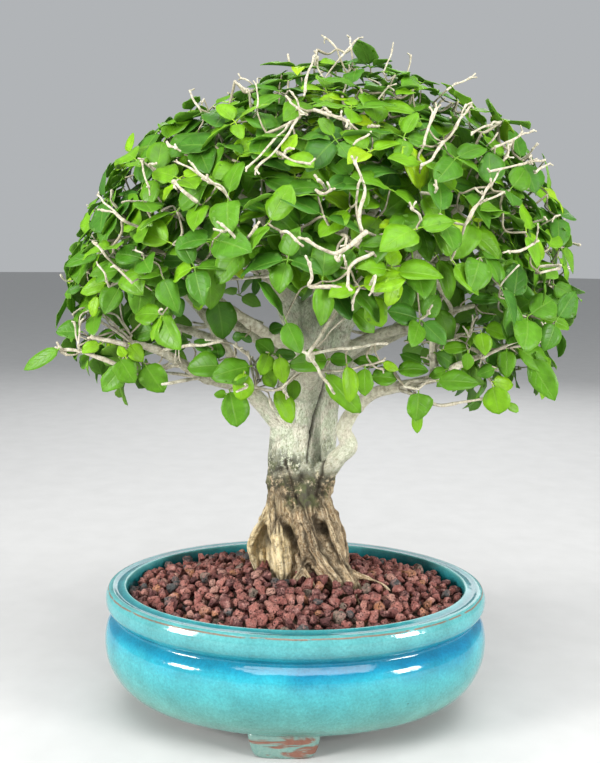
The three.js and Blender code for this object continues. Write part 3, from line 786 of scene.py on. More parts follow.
def lava_material():
    paint = Paint("lava_stone")
    here = paint.place()
    tone, kind = paint.mark("tone"), paint.mark("kind")
    colour = paint.ramp(tone, [
        (0.0, (0.085, 0.030, 0.030)), (0.25, (0.150, 0.050, 0.044)), (0.5, (0.235, 0.080, 0.066)),
        (0.75, (0.30, 0.110, 0.090)), (0.92, (0.36, 0.15, 0.12)), (1.0, (0.42, 0.24, 0.19)),
    ])
    # A few stones are dark grey, grey-brown or rusty all over
    colour = paint.mix(paint.step(kind, 0.90, 0.905), colour, (0.062, 0.066, 0.066))
    colour = paint.mix(paint.step(kind, 0.965, 0.97), colour, (0.16, 0.13, 0.10))
    colour = paint.mix((1.0 - paint.step(kind, 0.05, 0.055)) * 0.8, colour, (0.34, 0.15, 0.07))
    colour = paint.mix(paint.step(paint.clouds(here, 260, 4, 0.65), 0.45, 0.75), colour, (0.42, 0.22, 0.19))
    dust = paint.clouds(here, 900, 4, 0.7)
    colour = paint.shade(colour, paint.spread(dust, 0.42, 1.5))
    # Pits: small pores that dent the bump, painted near black as the shade inside them
    distance, number = paint.dots(here, 620.0, 1)
    pit_dent_and_shade = (1.0 - paint.step(distance, 0.14, 0.40)) * paint.step(number, 0.35, 0.45)
    colour = paint.mix(pit_dent_and_shade * 0.88, colour, (0.028, 0.011, 0.010))
    return paint.finish(colour, dust * 0.8 - pit_dent_and_shade, 0.0012, 1.0, Roughness=0.82, Specular_IOR_Level=0.35)


# Wood
def shoot_seats():
    """Name, seat, tip and branchlet of every leafy shoot, as in the part's own rings."""
    seats = []
    knots = [np.array(knot[:3], float) for branch in BRANCHES for knot in branch[1:]]
    for name, count, height, middle, half, rise, reach, turn, step in SHOOT_RINGS:
        hub = np.array([*DOME_HUB, height - rise])
        for i in range(count):
            azimuth = math.radians(turn + i * step)
            along, deep = half * math.cos(azimuth), half * DOME_DEPTH_RATIO * math.sin(azimuth)
            tip = np.array([middle + along, deep, height])
            seat = hub + (tip - hub) * reach
            start = min(knots, key=lambda knot: np.linalg.norm(knot - seat) + max(knot[2] - seat[2], 0))
            straight = min(LONGEST_STRAIGHT, np.linalg.norm(start - seat) / 2)
            elbow = seat - unit(tip - seat) * straight
            branchlet = [(*spot, radius) for spot, radius in zip((start, elbow, seat), BRANCHLET_RADII)]
            seats.append((f"leafy_shoot_{name}_{i + 1:02d}", seat, tip, branchlet))
    return seats


SEATS = shoot_seats()

# Thinner strands of wood that run over trunk and roots, and small roots beside them
STRANDS = [
    [(-12, 12, 152, 3), (-13, 2, 138, 5.5), (-13, -3, 124, 6.5), (-11, -5, 108, 6.5), (-9, -7, 92, 6),
     (-8, -8, 74, 5)],
    [(4, 8, 156, 3), (6, -2, 140, 5.5), (10, -8, 124, 6), (18, -12, 106, 5.5), (28, -13, 92, 4.5),
     (38, -15, 76, 3)],
    [(12, 10, 150, 3), (17, 1, 136, 4.6), (23, -4, 122, 4.8), (31, -8, 104, 4.4), (40, -11, 90, 3.6),
     (46, -15, 76, 2.6)],
    [(20, 18, 140, 3), (24, 12, 126, 4.4), (28, 12, 112, 4.6), (30, 12, 98, 4.6), (32, 13, 82, 4.6),
     (33, 14, 70, 4)],
    [(18, 10, 146, 3), (24, 3, 132, 3.8), (28, 1, 118, 3.2), (31, -1, 106, 3.2), (33, -4, 92, 3.2)],
    [(2, -6, 108, 3.6), (4, -11, 99, 3.2), (0, -15, 92, 2.8), (-4, -15, 86, 2.2), (-6, -14, 80, 2)],
    [(4, -11, 100, 2.6), (9, -15, 94, 2.4), (13, -18, 87, 2)],
    [(40, -10, 96, 2.6), (50, -14, 93, 1.7), (58, -17, 91, 1.3), (64, -17, 86, 1)],
    [(-25, 14, 120, 3.4), (-29, 11, 114, 3), (-30, 8, 103, 2.6), (-28, 6, 92, 2.2), (-28, 4, 80, 1.8)],
    [(-22, 8, 128, 2), (-27, 6, 121, 3), (-31, 6, 112, 2.6), (-32, 7, 104, 2)],
    [(12, 30, 200, 7), (8, 36, 160, 8), (5, 36, 128, 8), (4, 40, 104, 7)],
]

# Furrows in the front of the trunk: start, end, half width and depth
FURROWS = [
    ((23, 0, 236), (9, 0, 190), 1.1, 2.6), ((9, 0, 190), (6, 0, 168), 0.8, 1.2),
    ((-10, 0, 133), (1.5, 0, 108), 1.8, 2.4), ((13, 0, 134), (30, 0, 103), 1.6, 2),
    ((-2, 0, 147), (20, 0, 112), 1.3, 1.5), ((6, 0, 141), (28, 0, 98), 1.1, 1.3),
    ((-17, 0, 150), (-14, 0, 124), 1.2, 1.2), ((2, 0, 128), (12, 0, 100), 1.1, 1.2),
    ((-6, 0, 262), (-4, 0, 238), 1.1, 0.9), ((18, 0, 172), (14, 0, 148), 1.4, 1.4),
    ((-8, 0, 172), (-3, 0, 150), 1.2, 1.2),
]
# Hollows in it: middle, half size and depth
HOLLOWS = [
    ((19.5, -5, 127), (3.4, 12, 6.2), 4.6), ((14.4, 4, 272), (4.6, 12, 4.6), 3.4),
    ((-20, 6, 112), (2.2, 14, 5), 2.6), ((4, -9, 92), (3.5, 6, 5), 1.6), ((4, -2, 160), (3, 10, 4), 1.6),
    ((-12, -2, 164), (3.5, 10, 3), 1.4),
]

# Sides of the tubes that make the skin, and the skin's own steps
TRUNK_SIDES, STEM_SIDES, ROOT_SIDES, BRANCH_SIDES, BRANCHLET_SIDES = 48, 32, 24, 16, 9
VOXEL = 1.26
SMOOTHING, SMOOTHING_ROUNDS = 0.6, 4
NEIGHBOURS = 10
# Radii at which a limb starts to count as thick, by how much more it fully does, and the same in the trunk
THICK_FROM, THICK_RANGE, THICK_IN_TRUNK = 3.0, 9, 3.4
# Columns of the limbs' samples
PLACE, TANGENT, SIDE, ACROSS = slice(0, 3), slice(3, 6), slice(6, 9), slice(9, 12)
WAY, RADIUS, LIMB = 12, 13, 14
# Heights where the bare root wood starts and where every limb counts as trunk, and how they fade
ROOT_WOOD_TOP = 158
ALL_TRUNK_BELOW = 172
FADE = 14
SCAR_BAND_HEIGHT = 152


def limb_samples(knots, number):
    """Samples along a limb: place, tangent, side, across, way along it, radius and the limb's number."""
    path, radii = strand(knots, 1.5)
    return np.column_stack([path, *frames(path), path_length(path), radii, np.full(len(path), number)])


def make_wood():
    """Trunk, roots, branches and branchlets as one skin of bark, and the samples of its limbs."""
    limbs = [(TRUNK, TRUNK_SIDES), (SECOND_STEM, STEM_SIDES)] + [(root, ROOT_SIDES) for root in ROOTS]
    limbs += [(limb, BRANCH_SIDES) for limb in STRANDS + BRANCHES]
    body = Mesh()
    for knots, sides in limbs:
        body.add(*tube(*strand(knots), sides))
    rows = np.vstack([limb_samples(knots, number) for number, (knots, _) in enumerate(limbs)])
    wood = body.make("bonsai_wood")
    remesh = wood.modifiers.new("skin", "REMESH")
    remesh.mode = "VOXEL"
    remesh.voxel_size = VOXEL * MM
    smooth = wood.modifiers.new("blend", "SMOOTH")
    smooth.factor = SMOOTHING
    smooth.iterations = SMOOTHING_ROUNDS
    apply_modifiers(wood)
    carve(wood.data, rows)

    small = Mesh()
    for _, _, _, branchlet in SEATS:
        line = [(*knot[:3], knot[3] * 0.5) for knot in branchlet]
        points, faces = tube(*knobbly(*strand(line, 1.6)), BRANCHLET_SIDES)
        flow = dict(zip(("flow_x", "flow_y", "flow_z"), points.T))
        small.add(points, faces, crease=0.0, thick=0.0, **flow)
    join(wood, small.make("branchlets"))
    return wood, rows


def nearest_limb(spots, rows):
    """The sample whose limb has its surface closest to each place."""
    tree = KDTree(len(rows))
    for i, row in enumerate(rows):
        tree.insert(row[PLACE], i)
    tree.balance()
    radii = rows[:, RADIUS].tolist()

    def off_surface(hit):
        """A limb's own surface lies one radius from its middle."""
        _, index, distance = hit
        return abs(distance - radii[index])

    nearest = [min(tree.find_n(spot, NEIGHBOURS), key=off_surface)[1] for spot in spots]
    return rows[nearest]


def carve(mesh, rows):
    """Moves the skin's points in and out for the bark's relief, and marks them for the material."""
    spots, normals = (np.zeros(len(mesh.vertices) * 3, np.float32) for _ in range(2))
    mesh.vertices.foreach_get("co", spots)
    mesh.vertex_normals.foreach_get("vector", normals)
    spots = spots.reshape(-1, 3).astype(float) / MM
    normals = normals.reshape(-1, 3).astype(float)
    row = nearest_limb(spots, rows)
    away = spots - row[:, PLACE]
    along, x, y = (np.einsum("ij,ij->i", away, row[:, axis]) for axis in (TANGENT, SIDE, ACROSS))
    way = row[:, WAY] + along
    radius, number = row[:, RADIUS], row[:, LIMB]
    fibre = noise(np.stack([x / 2.3, y / 2.3, way / 17 + number * 31.7], 1), 3)
    broad = noise(np.stack([x / 6.0, y / 6.0, way / 30 + number * 17.3], 1), 4)
    low = np.clip((ROOT_WOOD_TOP - spots[:, 2]) / FADE, 0, 1)
    trunk = np.clip((ALL_TRUNK_BELOW - spots[:, 2]) / FADE, 0, 1)
    trunk = trunk * np.clip(radius / THICK_IN_TRUNK, 0, 1)
    thick = np.maximum(np.clip((radius - THICK_FROM) / THICK_RANGE, 0, 1), trunk)
    # Grooves and cracks with the grain, lumps across it
    groove = (1 - np.abs(fibre)) ** 5
    crack = (1 - np.abs(broad)) ** 7
    height = -groove * (thick * (0.34 + 0.70 * low))
    height += thick * (broad * (0.35 + 0.8 * low) - crack * (0.35 + 1.3 * low))
    height += noise(spots / 9, 6) * (0.12 + 0.35 * thick + 0.6 * low * thick)
    height += noise(spots / 3.6, 18) * thick * (0.12 + 0.75 * low)
    # Knots and leaf scars along thinner branches
    scar = np.clip(noise_along(way / 3.4, number * 3.3, 8), 0, 1) ** 2
    height += (1 - thick) * (scar * 0.55 + noise(spots / 2.1, 9) * 0.14)
    # Rough scar band below the old bark
    band = np.exp(-((spots[:, 2] - SCAR_BAND_HEIGHT - 5 * noise(spots / 14, 12)) / 9) ** 2) * thick
    height += band * (noise(spots / 3.0, 13) * 1.3 + noise(spots / 6.0, 19) * 1.2 - 0.2)
    # How much painted shade the material puts in the bark's grooves and cracks; the hollows and furrows
    # below add to it
    crease = np.clip(groove * 0.55 + crack * 0.75, 0, 1) * thick * (0.3 + 0.7 * low)
    for middle, size, depth in HOLLOWS:
        dip = np.exp(-(((spots - middle) / size) ** 2).sum(1))
        height -= dip * depth
        crease = np.maximum(crease, dip ** 0.7)
    # Furrows run over the front only, and wander a little
    wobbly = spots + 1.4 * np.stack([noise(spots / 7, seed) for seed in (20, 21, 22)], 1)
    facing = np.clip((16 - spots[:, 1]) / 6, 0, 1)
    for start, end, half_width, depth in FURROWS:
        line = np.subtract(end, start, dtype=float)
        share = np.clip((wobbly - start) @ line / (line @ line), 0, 1)
        off = (wobbly - start - share[:, None] * line) * (1, 0, 1)
        dip = np.exp(-(off**2).sum(1) / half_width**2) * facing
        height -= dip * depth
        crease = np.maximum(crease, dip ** 0.8)
    spots += normals * height[:, None]
    mesh.vertices.foreach_set("co", (spots * MM).astype(np.float32).ravel())
    marks = {"crease": crease, "thick": thick, "flow_x": x, "flow_y": y, "flow_z": way + number * 37}
    for name, values in marks.items():
        add_mark(mesh, name, values)
    mesh.polygons.foreach_set("use_smooth", np.ones(len(mesh.polygons), bool))
    mesh.update()


def knobbly(path, radii, strength=1.0):
    """A twig's line with the swellings of its nodes and a little waywardness."""
    way = path_length(path)
    start = rng.uniform(0, 100)
    swell = noise_along(way / 2.6 + start, 0, 15)
    rings = np.clip(noise_along(way / 5.0 + start, 7, 16), 0, 1) ** 2
    ease = np.sin(np.pi * np.linspace(0, 1, len(path)))[:, None]
    sway = np.stack([noise_along(way / 9 + start, lane, 17) for lane in (1, 3, 5)], 1)
    return path + sway * ease * 0.9 * strength, radii * (1 + strength * (0.10 * swell + 0.45 * rings))


def along_limb(paint, across, along):
    """Coordinates that run with the wood's grain, for features of a given size in millimetres."""
    sizes = {"flow_x": across, "flow_y": across, "flow_z": along}
    parts = [paint.mark(name) / size for name, size in sizes.items()]
    return paint.value("CombineXYZ", dict(enumerate(parts)))


def bark_material():
    paint = Paint("bark")
    here = paint.place()
    x, _, z = (Value(part) for part in node(paint.tree, "SeparateXYZ", {0: paint.coordinates()}).outputs)
    thick, crease = paint.mark("thick"), paint.mark("crease")
    slow = paint.clouds(here, 60, 3) - 0.5
    level = z + slow * 0.05
    fleck = paint.clouds(along_limb(paint, 1.1, 2.4), 1.0, 5, 0.75)
    fibre = paint.clouds(along_limb(paint, 1.5, 13.0), 1.0, 5, 0.7, 0.5)
    patch = paint.clouds(here, 110, 4, 0.6)
    dark = paint.clouds(here, 230, 5, 0.75)
    # Old bark above: grey-green and pale cream, thick with fine dark flecks
    green = paint.ramp(fleck, [
        (0.31, (0.13, 0.145, 0.07)), (0.41, (0.44, 0.48, 0.31)),
        (0.50, (0.68, 0.73, 0.55)), (0.64, (0.88, 0.90, 0.77)),
    ])
    cream = paint.ramp(fleck, [
        (0.31, (0.17, 0.15, 0.09)), (0.42, (0.56, 0.53, 0.40)), (0.58, (0.86, 0.84, 0.71)),
    ])
    upper = paint.mix(paint.step(patch, 0.42, 0.60), green, cream)
    # Bare fibrous root wood below: brown and tan, honey-coloured at the left, with pale worn ridges
    lower = paint.ramp(fibre, [
        (0.30, (0.060, 0.034, 0.015)), (0.41, (0.25, 0.160, 0.080)), (0.50, (0.50, 0.36, 0.205)),
        (0.61, (0.80, 0.65, 0.43)), (0.74, (0.90, 0.80, 0.60)),
    ])
    honey = paint.ramp(fibre, [
        (0.28, (0.22, 0.13, 0.05)), (0.40, (0.62, 0.46, 0.22)),
        (0.54, (0.88, 0.73, 0.42)), (0.72, (0.94, 0.86, 0.62)),
    ])
    left = (1.0 - paint.step(x + slow * 0.02, -0.007, 0.001)) * (1.0 - paint.step(level, 0.122, 0.142))
    lower = paint.mix(left * 0.85, lower, honey)
    lower = paint.mix(paint.step(dark, 0.50, 0.60) * 0.60, lower, (0.11, 0.075, 0.04))
    grain = paint.step(paint.clouds(here, 700, 4, 0.7), 0.50, 0.62)
    lower = paint.mix(grain * 0.55, lower, (0.80, 0.70, 0.50))
    colour = paint.mix(paint.step(level, 0.146, 0.170), lower, upper)
    # Dark mossy scar band between them
    moss = paint.step(dark + slow * 0.5, 0.37, 0.48)
    ring = paint.step(level, 0.136, 0.148) * (1.0 - paint.step(level, 0.166, 0.190))
    mossy = paint.mix(paint.step(patch, 0.46, 0.56), (0.055, 0.055, 0.038), (0.085, 0.105, 0.040))
    colour = paint.mix(ring * moss * (thick * 0.92), colour, mossy)
    # Thin branches are cream, with brown rings and scars
    young = paint.ramp(paint.clouds(here, 260, 5, 0.7), [
        (0.32, (0.24, 0.20, 0.13)), (0.45, (0.54, 0.49, 0.36)),
        (0.58, (0.74, 0.70, 0.56)), (0.7, (0.84, 0.82, 0.70)),
    ])
    slim = 1.0 - paint.step(thick, 0.05, 0.5)
    colour = paint.mix(slim * 0.9, colour, young)
    # Painted shade: grooves, cracks, hollows and furrows are darkened to near black, as if shaded
    colour = paint.mix(crease * 0.93, colour, (0.030, 0.021, 0.012))
    relief = fibre * 1.1 + dark * 0.7 + fleck * 0.9
    return paint.finish(colour, relief, 0.0016, 0.8, Roughness=0.8, Specular_IOR_Level=0.28)


# Camera geometry: a place in the picture as a place in the frame
def camera_turn():
    return Matrix.Rotation(math.pi / 2 + CAMERA_PITCH, 3, "X") @ Matrix.Rotation(CAMERA_ROLL, 3, "Z")


RIGHT, UPWARD, BACK = (np.array(axis) for axis in camera_turn().col)
FORWARD = -BACK
EYE = np.array(CAMERA_PLACE)
PICTURE_MIDDLE = np.array(PICTURE) / 2


def sight(px, py):
    """The line of sight through a place in the picture."""
    right, down = (np.array([px, py]) - PICTURE_MIDDLE) / FOCAL_PIXELS
    return FORWARD + RIGHT * right - UPWARD * down


def seen(px, py, y):
    """The place at depth y that shows at px, py in the picture."""
    line = sight(px, py)
    return EYE + line * (y - EYE[1]) / line[1]


def picture_place(points):
    away = points - EYE
    right, up = (FOCAL_PIXELS * (away @ axis) / (away @ FORWARD) for axis in (RIGHT, UPWARD))
    return PICTURE_MIDDLE + np.stack([right, -up], 1)


def canopy_share(points):
    """0 in the middle of the foliage's dome and 1 on its outside, level by level."""
    heights, lefts, rights = np.array(CANOPY, float).T
    left = np.interp(points[:, 2], heights, lefts)
    right = np.interp(points[:, 2], heights, rights)
    half = (right - left) / 2
    share = np.hypot((points[:, 0] - (left + right) / 2) / half, points[:, 1] / (half * DOME_DEPTH_RATIO))
    return np.where(points[:, 2] > heights[-1] + 1, FAR_OUTSIDE, share)


def front(px, py, inset):
    """Where the line of sight meets the front of the foliage's dome, set in by some millimetres."""
    depths = np.arange(-170.0, 30.0, 2.0)
    line = sight(px, py)
    spots = EYE + line * ((depths - EYE[1]) / line[1])[:, None]
    share = canopy_share(spots)
    inside = np.nonzero((share < 1) & (spots[:, 2] > DOME_BOTTOM))[0]
    first = inside[0] if len(inside) else int(np.argmin(share))
    return spots[first] + unit(line) * inset


# Stands for the depth of a picture place on the front of the foliage's dome
DOME = None


def picture_spot(px, py, depth, inset):
    """The place at a depth or, with none, set in from the front of the dome."""
    return front(px, py, inset) if depth is DOME else seen(px, py, depth)


# Leaves: rows from stalk to tip and columns across, as shares of the length and of the half width
LEAF_UP = np.array([0, 0.07, 0.2, 0.37, 0.55, 0.73, 0.89, 1.0])
LEAF_ACROSS = np.array([-1, -0.52, 0, 0.52, 1])
LEAST_BREADTH = np.array([0.06, 0, 0, 0, 0, 0, 0, 0.03])
LEAF_POINTS = len(LEAF_UP) * len(LEAF_ACROSS)
# Powers of the outline towards stalk and tip
LEAF_FORMS = [(0.50, 0.78), (0.58, 0.66), (0.42, 0.74), (0.52, 0.92), (0.62, 0.80), (0.36, 0.66)]


def leaf_faces():
    rows, columns = len(LEAF_UP), len(LEAF_ACROSS)
    top = grid_faces(rows, columns, closed=False)
    number = np.arange(LEAF_POINTS).reshape(rows, columns)
    here = np.r_[number[0, :-1], number[:-1, -1], number[-1, :0:-1], number[:0:-1, 0]]
    after = np.roll(here, -1)
    edge = np.stack([after, here, here + LEAF_POINTS, after + LEAF_POINTS], 1)
    return np.vstack([top, top[:, ::-1] + LEAF_POINTS, edge])


LEAF_FACES = leaf_faces()


def leaf(base, way, face, length, width, tone, form):
    """One leaf: points, faces and marks. It grows from base along way, and face is its upper side."""
    way = unit(way)
    face = unit(face - way * np.dot(face, way))
    side = np.cross(way, face)
    t, v = np.meshgrid(LEAF_UP, LEAF_ACROSS, indexing="ij")
    low, high = form
    peak = low / (low + high)
    broad = LEAF_UP ** low * (1 - LEAF_UP) ** high / (peak ** low * (1 - peak) ** high)
    broad = np.maximum(broad, LEAST_BREADTH)[:, None]
    bend = rng.uniform(0.15, 0.75)
    fold = rng.uniform(0.04, 0.42)
    waves = rng.uniform(0, 0.055)
    start = rng.uniform(0, FULL_TURN)
    forward = np.sin(t * bend) / bend * length
    down = (1 - np.cos(t * bend)) / bend * length
    lobes = rng.uniform(0, 0.13) * np.sin(rng.uniform(6, 10) * t + start + 1.7 * np.sign(v))
    lobes *= (t < 0.95) & (t > 0.05)
    out = v * broad * width / 2 * (1 + rng.uniform(-0.16, 0.16) * np.sign(v) + lobes)
    lift = fold * np.abs(out) - 0.7 * fold * out**2 / width
    lift += waves * width * np.sin(3.6 * np.pi * t + start + v) * v**2
    twist = rng.uniform(-0.25, 0.25) * t
    across = out * np.cos(twist) - lift * np.sin(twist)
    above = lift * np.cos(twist) + out * np.sin(twist) - down
    top = base + forward[..., None] * way + across[..., None] * side + above[..., None] * face
    thickness = 0.16 + 0.16 * (1 - np.abs(v))
    bottom = top - thickness[..., None] * face
    marks = {
        "leaf_up": np.tile(t.ravel(), 2), "leaf_across": np.tile(v.ravel() / 2 + 0.5, 2),
        "tone": tone, "under": np.repeat([0, 1], LEAF_POINTS),
    }
    return np.vstack([top.reshape(-1, 3), bottom.reshape(-1, 3)]), LEAF_FACES, marks


class Foliage:
    """Leaves and twigs, sorted into one mesh for each leafy shoot."""

    LEAF_PAINT, TWIG_PAINT = 0, 1
    STALK_RADII = np.array([0.55, 0.42, 0.34])
    STALK_SAG = np.array([0, 0, 0.25])

    def __init__(self):
        self.meshes = [Mesh() for _ in SEATS]
        self.middles = np.array([seat * 0.6 + tip * 0.4 for _, seat, tip, _ in SEATS])

    def mesh_near(self, spot):
        return self.meshes[int(np.argmin(np.linalg.norm(self.middles - spot, axis=1)))]

    def add_leaf(self, base, way, face, length, width, tone, owner, stalk):
        """A leaf with a stalk of some millimetres, on the shoot nearest to its owner."""
        mesh = self.mesh_near(owner)
        way = unit(way)
        foot = base + way * stalk
        form = LEAF_FORMS[rng.integers(len(LEAF_FORMS))]
        points, faces, marks = leaf(foot, way, face, length, width, tone, form)
        mesh.add(points, faces, self.LEAF_PAINT, **marks)
        line = np.array([base, base + way * stalk * 0.55 + self.STALK_SAG, foot + way * 0.8])
        points, faces = tube(line, self.STALK_RADII, 4)
        pale = min(tone + 0.25, 1)
        mesh.add(points, faces, self.LEAF_PAINT, leaf_up=0.02, leaf_across=0.5, tone=pale, under=0.3)

    def add_twig(self, path, radii, owner, sides=5, bleach=1.0):
        points, faces = tube(path, radii, sides)
        self.mesh_near(owner).add(points, faces, self.TWIG_PAINT, bleach=bleach)

    def make(self, leaf_paint, twig_paint):
        for (name, *_), mesh in zip(SEATS, self.meshes):
            item = mesh.make(name.replace("leafy_shoot", "foliage"))
            item.data.materials.append(leaf_paint)
            item.data.materials.append(twig_paint)
            item.data.polygons.foreach_set("material_index", mesh.face_paints())
            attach(item, "root")
            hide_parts(name)


# Leaves that stand clear in the photograph's lower foliage: picture place of the middle, depth in
# millimetres, length and width in pixels, direction in degrees (0 right, 90 up) and tone
CLEAR_LEAVES = [
    (38, 359, -58, 44, 15, 205, 0.45), (68, 331, -52, 25, 19, 175, 0.3), (90, 348, -56, 20, 12, 200, 0.8),
    (106, 352, -50, 23, 12, 5, 0.15), (111, 380, -54, 30, 22, 228, 0.45), (127, 371, -58, 27, 23, 300, 0.5),
    (154, 380, -54, 34, 28, 300, 0.5), (137, 353, -60, 21, 17, 310, 0.8),
    (141, 332, -50, 24, 22, 190, 0.35), (122, 351, -62, 13, 10, 120, 0.85),
    (93, 306, -60, 21, 12, 250, 0.85), (112, 301, -66, 28, 24, 240, 0.4), (91, 286, -62, 30, 17, 190, 0.75),
    (73, 289, -52, 16, 9, 190, 0.2), (80, 258, -60, 35, 17, 190, 0.3), (102, 268, -68, 33, 18, 200, 0.45),
    (140, 299, -76, 36, 27, 262, 0.45), (156, 275, -80, 27, 22, 210, 0.4), (173, 287, -82, 37, 27, 10, 0.2),
    (178, 261, -80, 28, 22, 0, 0.15), (157, 311, -70, 25, 20, 230, 0.45), (177, 308, -68, 19, 17, 290, 0.2),
    (210, 284, -84, 50, 30, 276, 0.55), (221, 321, -56, 40, 30, 280, 0.28),
    (198, 296, -72, 22, 17, 270, 0.35), (198, 304, -66, 13, 11, 270, 0.85),
    (236, 259, -88, 30, 26, 210, 0.55), (240, 272, -80, 14, 10, 300, 0.97),
    (256, 285, -20, 21, 10, 250, 0.15), (283, 260, -90, 44, 33, 260, 0.55),
    (298, 281, -84, 31, 27, 285, 0.45), (175, 347, -10, 27, 13, 200, 0.1),
    (202, 345, -44, 18, 15, 150, 0.2), (217, 349, -46, 19, 17, 100, 0.2), (202, 366, -52, 34, 26, 182, 0.4),
    (230, 370, -58, 40, 28, 190, 0.42), (242, 387, -64, 28, 21, 262, 0.8),
    (234, 409, -56, 35, 28, 284, 0.45), (220, 394, -50, 12, 9, 180, 0.55),
    (265, 347, -48, 21, 19, 140, 0.35), (265, 365, -56, 22, 18, 250, 0.75),
    (281, 371, -60, 28, 17, 275, 0.8), (270, 379, -54, 20, 17, 300, 0.75),
    (285, 406, -50, 36, 19, 300, 0.78), (293, 390, -44, 21, 14, 270, 0.6), (286, 354, -34, 22, 12, 0, 0.2),
    (246, 338, -12, 15, 8, 330, 0.12), (277, 328, -14, 16, 13, 20, 0.12), (237, 337, -30, 11, 10, 180, 0.2),
    (307, 361, -66, 40, 24, 182, 0.42), (341, 359, -52, 22, 14, 0, 0.35), (366, 360, -54, 27, 15, 165, 0.4),
    (344, 395, -62, 54, 22, 311, 0.62), (350, 384, -70, 36, 17, 280, 0.8),
    (365, 382, -62, 27, 19, 270, 0.6), (385, 377, -58, 27, 20, 0, 0.5), (391, 366, -60, 17, 10, 340, 0.88),
    (411, 357, -44, 24, 15, 150, 0.25), (414, 368, -56, 33, 18, 8, 0.42), (416, 339, -20, 19, 11, 10, 0.25),
    (447, 327, -50, 38, 24, 295, 0.45), (420, 306, -40, 17, 13, 180, 0.35),
    (457, 347, -56, 27, 14, 12, 0.55), (450, 360, -48, 31, 20, 335, 0.3),
    (483, 344, -58, 23, 18, 280, 0.75), (468, 362, -60, 19, 12, 270, 0.55),
    (486, 372, -54, 18, 14, 200, 0.35), (460, 381, -66, 43, 22, 0, 0.45), (418, 407, -60, 28, 26, 268, 0.5),
    (418, 424, -54, 20, 12, 275, 0.75), (496, 401, -58, 29, 27, 282, 0.75),
    (506, 383, -52, 26, 16, 355, 0.85), (513, 407, -50, 15, 9, 328, 0.7), (499, 333, -54, 29, 17, 340, 0.6),
    (486, 299, -40, 32, 13, 0, 0.22), (477, 276, -84, 41, 26, 262, 0.45), (485, 319, -36, 19, 9, 200, 0.2),
    (512, 275, -78, 33, 24, 300, 0.55), (489, 256, -86, 25, 22, 268, 0.5),
    (489, 244, -92, 37, 24, 325, 0.6), (447, 235, -104, 33, 29, 300, 0.95),
    (425, 284, -90, 37, 31, 268, 0.45), (453, 275, -76, 23, 20, 200, 0.25),
    (376, 311, -88, 32, 24, 290, 0.75), (400, 300, -82, 34, 26, 262, 0.25),
    (365, 321, -80, 29, 20, 320, 0.5), (340, 300, -84, 24, 19, 250, 0.25),
    (353, 302, -90, 25, 20, 280, 0.45), (322, 300, -86, 26, 17, 250, 0.35),
    (506, 364, -50, 27, 18, 268, 0.5), (534, 358, -46, 37, 25, 330, 0.5),
    (541, 380, -48, 46, 25, 300, 0.45), (527, 330, -52, 23, 20, 300, 0.6),
    (558, 322, -40, 31, 20, 350, 0.55), (551, 305, -44, 25, 23, 60, 0.35),
    (564, 291, -40, 22, 19, 330, 0.4), (548, 271, -48, 23, 18, 330, 0.55),
    (514, 316, -56, 25, 22, 250, 0.35), (527, 300, -60, 31, 20, 300, 0.25),
    (525, 345, -30, 26, 18, 280, 0.35), (470, 335, -44, 20, 12, 90, 0.6), (437, 373, -50, 18, 12, 200, 0.5),
]

